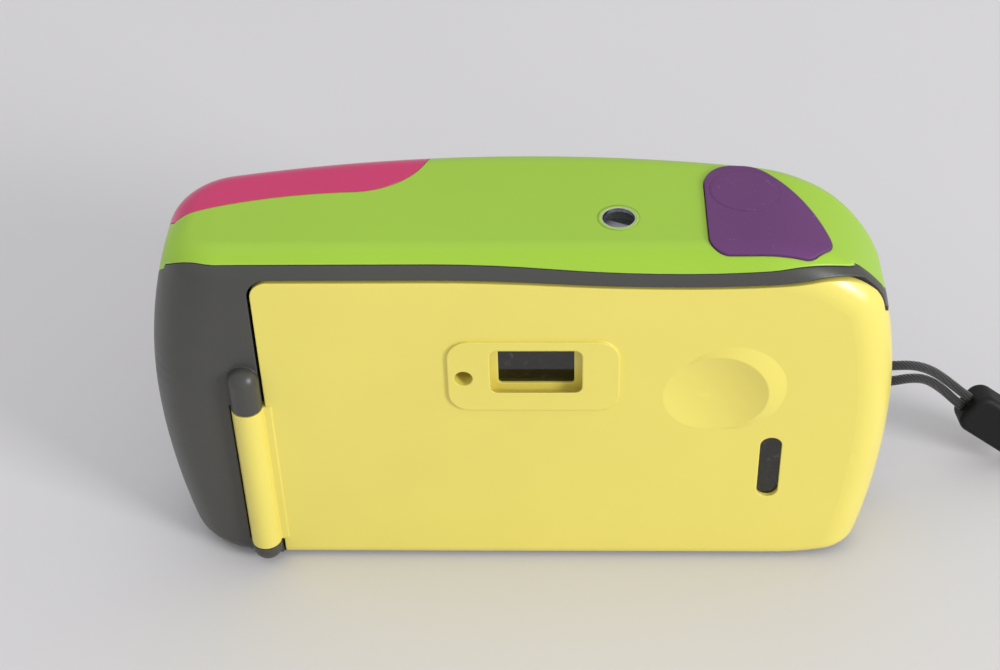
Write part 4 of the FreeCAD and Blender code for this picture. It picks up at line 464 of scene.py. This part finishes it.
def make_pad_bead():
    pad = node_object("button_pad")
    spots = []
    for step in range(BEAD_STEPS):
        turn = math.radians(360 / BEAD_STEPS * step)
        x, y = spot(BUTTON_CENTRE, BUTTON_RADIUS, turn)
        spots.append((x, y, top_height(pad, *spot(BUTTON_CENTRE, BUTTON_RADIUS + PAD_REACH, turn))))
    known = [height for _, _, height in spots if height is not None]
    curve = bpy.data.curves.new("pad_bead", "CURVE")
    curve.dimensions = "3D"
    curve.bevel_depth = BEAD_RADIUS * MM
    curve.bevel_resolution = 3
    spline = curve.splines.new("POLY")
    spline.points.add(len(spots) - 1)
    for point, (x, y, height) in zip(spline.points, spots):
        level = height if height is not None else sum(known) / len(known)
        point.co = (x * MM, y * MM, (level - BEAD_RADIUS * BEAD_SINK) * MM, 1)
    spline.use_cyclic_u = True
    item = bpy.data.objects.new("pad_bead", curve)
    bpy.context.scene.collection.objects.link(item)
    curve.materials.append(PURPLE.material)
    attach(item, "camera_body")


make_pad_bead()


# The film counter's rim: a low bright ring, a green lip round it and a black skirt below it

COUNTER_CENTRE = (16.7, -6.4)
RIM_INNER = 2.9
RIM_OUTER = 3.12
SKIRT_INNER = 3.14
HOLE_RADIUS = 3.56
LIP_RADIUS = 3.9
RIM_DEPTH = 0.8
RIM_ROUND = 0.03
RIM_SLANT = 0.04
LIP_HEIGHT = 0.014
LIP_FOOT = 0.003
SKIRT_TOP = 0.82
SKIRT_DEPTH = 2.3
RING_STEPS = 72
BEZEL_REACH = 3.35
COVER_REACH = 3.95


def counter_levels():
    # At each turn round the counter: the cover's height at its centre line and its slope outward
    bezel = node_object("counter_bezel")
    cover = node_object("top_cover")
    rows = []
    for step in range(RING_STEPS):
        turn = 2 * math.pi * step / RING_STEPS
        inner = top_height(bezel, *spot(COUNTER_CENTRE, BEZEL_REACH, turn))
        outer = top_height(cover, *spot(COUNTER_CENTRE, COVER_REACH, turn))
        slope = (outer - inner) / (COVER_REACH - BEZEL_REACH)
        rows.append((turn, inner - slope * BEZEL_REACH, slope))
    return rows


def make_ring(name, levels, profile, finish):
    # A closed ring: each point of the profile is a radius and a depth below the cover's face
    rows = [
        (turn, [(radius, level + slope * radius - depth) for radius, depth in profile])
        for turn, level, slope in levels
    ]
    form = bmesh.new()
    join_loops(form, turned_loops(form, COUNTER_CENTRE, rows), len(profile))
    return place_form(name, form, finish, "camera_body")


def make_counter_rim():
    levels = counter_levels()
    rim = make_ring("counter_rim", levels, [
        (RIM_OUTER, RIM_DEPTH), (RIM_OUTER, RIM_ROUND), (RIM_OUTER - RIM_ROUND, 0.0),
        (RIM_INNER + RIM_SLANT, 0.0), (RIM_INNER, RIM_SLANT), (RIM_INNER, RIM_DEPTH),
    ], CHROME)
    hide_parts("counter_bezel")
    make_ring("counter_lip", levels, [
        (LIP_RADIUS, -LIP_FOOT), (LIP_RADIUS - RIM_ROUND, -LIP_HEIGHT), (SKIRT_INNER, -LIP_HEIGHT),
        (SKIRT_INNER, RIM_DEPTH), (HOLE_RADIUS, RIM_DEPTH), (HOLE_RADIUS, -LIP_FOOT),
    ], GREEN)
    make_ring("counter_skirt", levels, [
        (HOLE_RADIUS, SKIRT_DEPTH), (HOLE_RADIUS, SKIRT_TOP), (SKIRT_INNER, SKIRT_TOP),
        (SKIRT_INNER, SKIRT_DEPTH),
    ], MATTE)


make_counter_rim()


# The dial's printed disc stands on the dial's hub, close under the glass

DISC_CENTRE = (16.7, -1.8)
DISC_RADIUS = 5.0
DISC_TOP = 71.7
DISC_THICKNESS = 0.3
DISC_STEPS = 96
HUB_FOOT = 69.32
HUB_RADIUS = 1.5


def make_dial_disc():
    profile = [
        (HUB_RADIUS, HUB_FOOT), (HUB_RADIUS, DISC_TOP - DISC_THICKNESS),
        (DISC_RADIUS, DISC_TOP - DISC_THICKNESS), (DISC_RADIUS, DISC_TOP),
    ]
    rows = [(2 * math.pi * step / DISC_STEPS, profile) for step in range(DISC_STEPS)]
    form = bmesh.new()
    loops = turned_loops(form, DISC_CENTRE, rows)
    join_loops(form, loops, len(profile) - 1)
    form.faces.new([loop[-1] for loop in loops])
    form.faces.new([loop[0] for loop in reversed(loops)])
    place_form("dial_disc", form, DIAL, "counter")


make_dial_disc()


# Strap: the cord's route, repeated from the CAD, and a smooth spline along it

STRAP_ROUTE = [
    (88.1, 9.8, 14.69), (86.9, 9.9, 15.59), (83.4, 9.0, 19.9), (79.4, 6.9, 24.45), (75.6, 4.6, 26.84),
    (71.6, 2.8, 27.55), (63.9, 2.0, 27.25), (63.9, 2.0, 31.75), (71.6, 2.8, 31.65), (76.0, 4.6, 30.16),
    (80.2, 6.9, 26.75), (84.6, 9.0, 21.7), (88.3, 10.2, 17.41), (89.5, 10.2, 16.51),
]
LOOP_ROUTE = [
    (103.9, 9.8, 5.71), (106.3, 9.8, 3.91), (109.0, 11.3, 0.95), (115.3, 9.7, 0.95), (120.0, 4.0, 0.95),
    (121.3, -3.1, 0.95), (123.4, -8.8, 0.95), (127.8, -12.3, 0.95), (133.1, -11.8, 0.95),
    (136.8, -7.8, 0.95), (137.6, -1.6, 0.95), (136.8, 5.6, 0.95), (134.5, 12.4, 0.95),
    (129.9, 17.4, 0.95), (123.8, 19.8, 0.95), (117.7, 19.6, 0.95), (113.6, 26.0, 0.95),
    (108.4, 26.8, 0.95), (104.1, 23.4, 0.95), (103.8, 17.8, 0.95), (107.8, 14.0, 0.95),
    (113.2, 14.4, 0.95), (117.5, 23.6, 0.95), (124.6, 23.8, 0.95), (132.1, 20.6, 0.95),
    (137.9, 14.4, 0.95), (140.8, 6.4, 0.95), (141.6, -1.6, 0.95), (140.4, -9.4, 0.95),
    (134.9, -15.4, 0.95), (126.6, -16.1, 0.95), (120.2, -11.2, 0.95), (117.5, -4.1, 0.95),
    (116.4, 2.4, 0.95), (113.1, 6.3, 0.95), (108.0, 7.5, 0.95), (104.3, 9.4, 2.58), (102.5, 9.5, 3.89),
]
CORD_RADIUS = 0.95


def make_cord(name, route, node):
    # The length is in metres
    curve = bpy.data.curves.new(name, "CURVE")
    curve.dimensions = "3D"
    spline = curve.splines.new("NURBS")
    spline.points.add(len(route) - 1)
    for point, (x, y, z) in zip(spline.points, route):
        point.co = (x * MM, y * MM, z * MM, 1)
    spline.order_u = 3
    spline.use_endpoint_u = True
    spline.resolution_u = 8
    curve.bevel_depth = CORD_RADIUS * MM
    curve.bevel_resolution = 4
    curve.use_fill_caps = True
    item = bpy.data.objects.new(name, curve)
    bpy.context.scene.collection.objects.link(item)
    curve.materials.append(CORD.material)
    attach(item, "camera_body")
    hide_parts(node)


make_cord("strap_cord_line", STRAP_ROUTE, "strap_cord")
make_cord("wrist_loop_line", LOOP_ROUTE, "wrist_loop")


# Floor, light and world, in metres

FLOOR_ROWS = [(-1.6, 0.0), (0.9, 0.0), (1.2, 0.03), (1.45, 0.12), (1.62, 0.3), (1.7, 0.6), (1.72, 1.4)]
FLOOR_SIDE = 2.2
FLOOR_TONES = ((214, 212, 215), (218, 216, 218))
LIGHT_TARGET = (0.0, 0.0, 0.03)
WORLD_TONE = (0.99, 1.0, 1.0, 1)
WORLD_STRENGTH = 0.74


def make_floor():
    # A pale sheet that rises softly far behind
    mesh = bpy.data.meshes.new("Floor")
    form = bmesh.new()
    left = [form.verts.new((-FLOOR_SIDE, y, z)) for y, z in FLOOR_ROWS]
    right = [form.verts.new((FLOOR_SIDE, y, z)) for y, z in FLOOR_ROWS]
    for place in range(len(FLOOR_ROWS) - 1):
        form.faces.new((left[place], right[place], right[place + 1], left[place + 1]))
    for face in form.faces:
        face.smooth = True
    form.to_mesh(mesh)
    form.free()
    item = bpy.data.objects.new("Floor", mesh)
    bpy.context.scene.collection.objects.link(item)
    finish = Finish("pale_paper")
    darker, lighter = (linear(*tone) for tone in FLOOR_TONES)
    finish.paint(finish.mix(finish.span(finish.noise(4, 2), 0.3, 0.7), darker, lighter))
    finish.set(Roughness=0.85, Specular_IOR_Level=0.2)
    finish.bump(finish.noise(500, 3), 0.1, 0.0002)
    mesh.materials.append(finish.material)


def make_light(name, place, size, power):
    lamp = bpy.data.lights.new(name, "AREA")
    lamp.shape = "RECTANGLE"
    lamp.size, lamp.size_y = size
    lamp.energy = power
    item = bpy.data.objects.new(name, lamp)
    item.location = place
    item.rotation_mode = "QUATERNION"
    item.rotation_quaternion = (Vector(LIGHT_TARGET) - Vector(place)).to_track_quat("-Z", "Y")
    bpy.context.scene.collection.objects.link(item)


def make_world():
    world = bpy.data.worlds.new("Studio")
    bpy.context.scene.world = world
    world.use_nodes = True
    back = world.node_tree.nodes["Background"]
    back.inputs["Color"].default_value = WORLD_TONE
    back.inputs["Strength"].default_value = WORLD_STRENGTH


make_floor()
make_world()
make_light("MainSoftbox", (1.16, -0.80, 0.54), (0.42, 0.36), 13.0)
make_light("TopSoftbox", (-0.15, 0.45, 1.30), (1.2, 0.9), 1.5)

bpy.context.scene.view_settings.view_transform = "Standard"
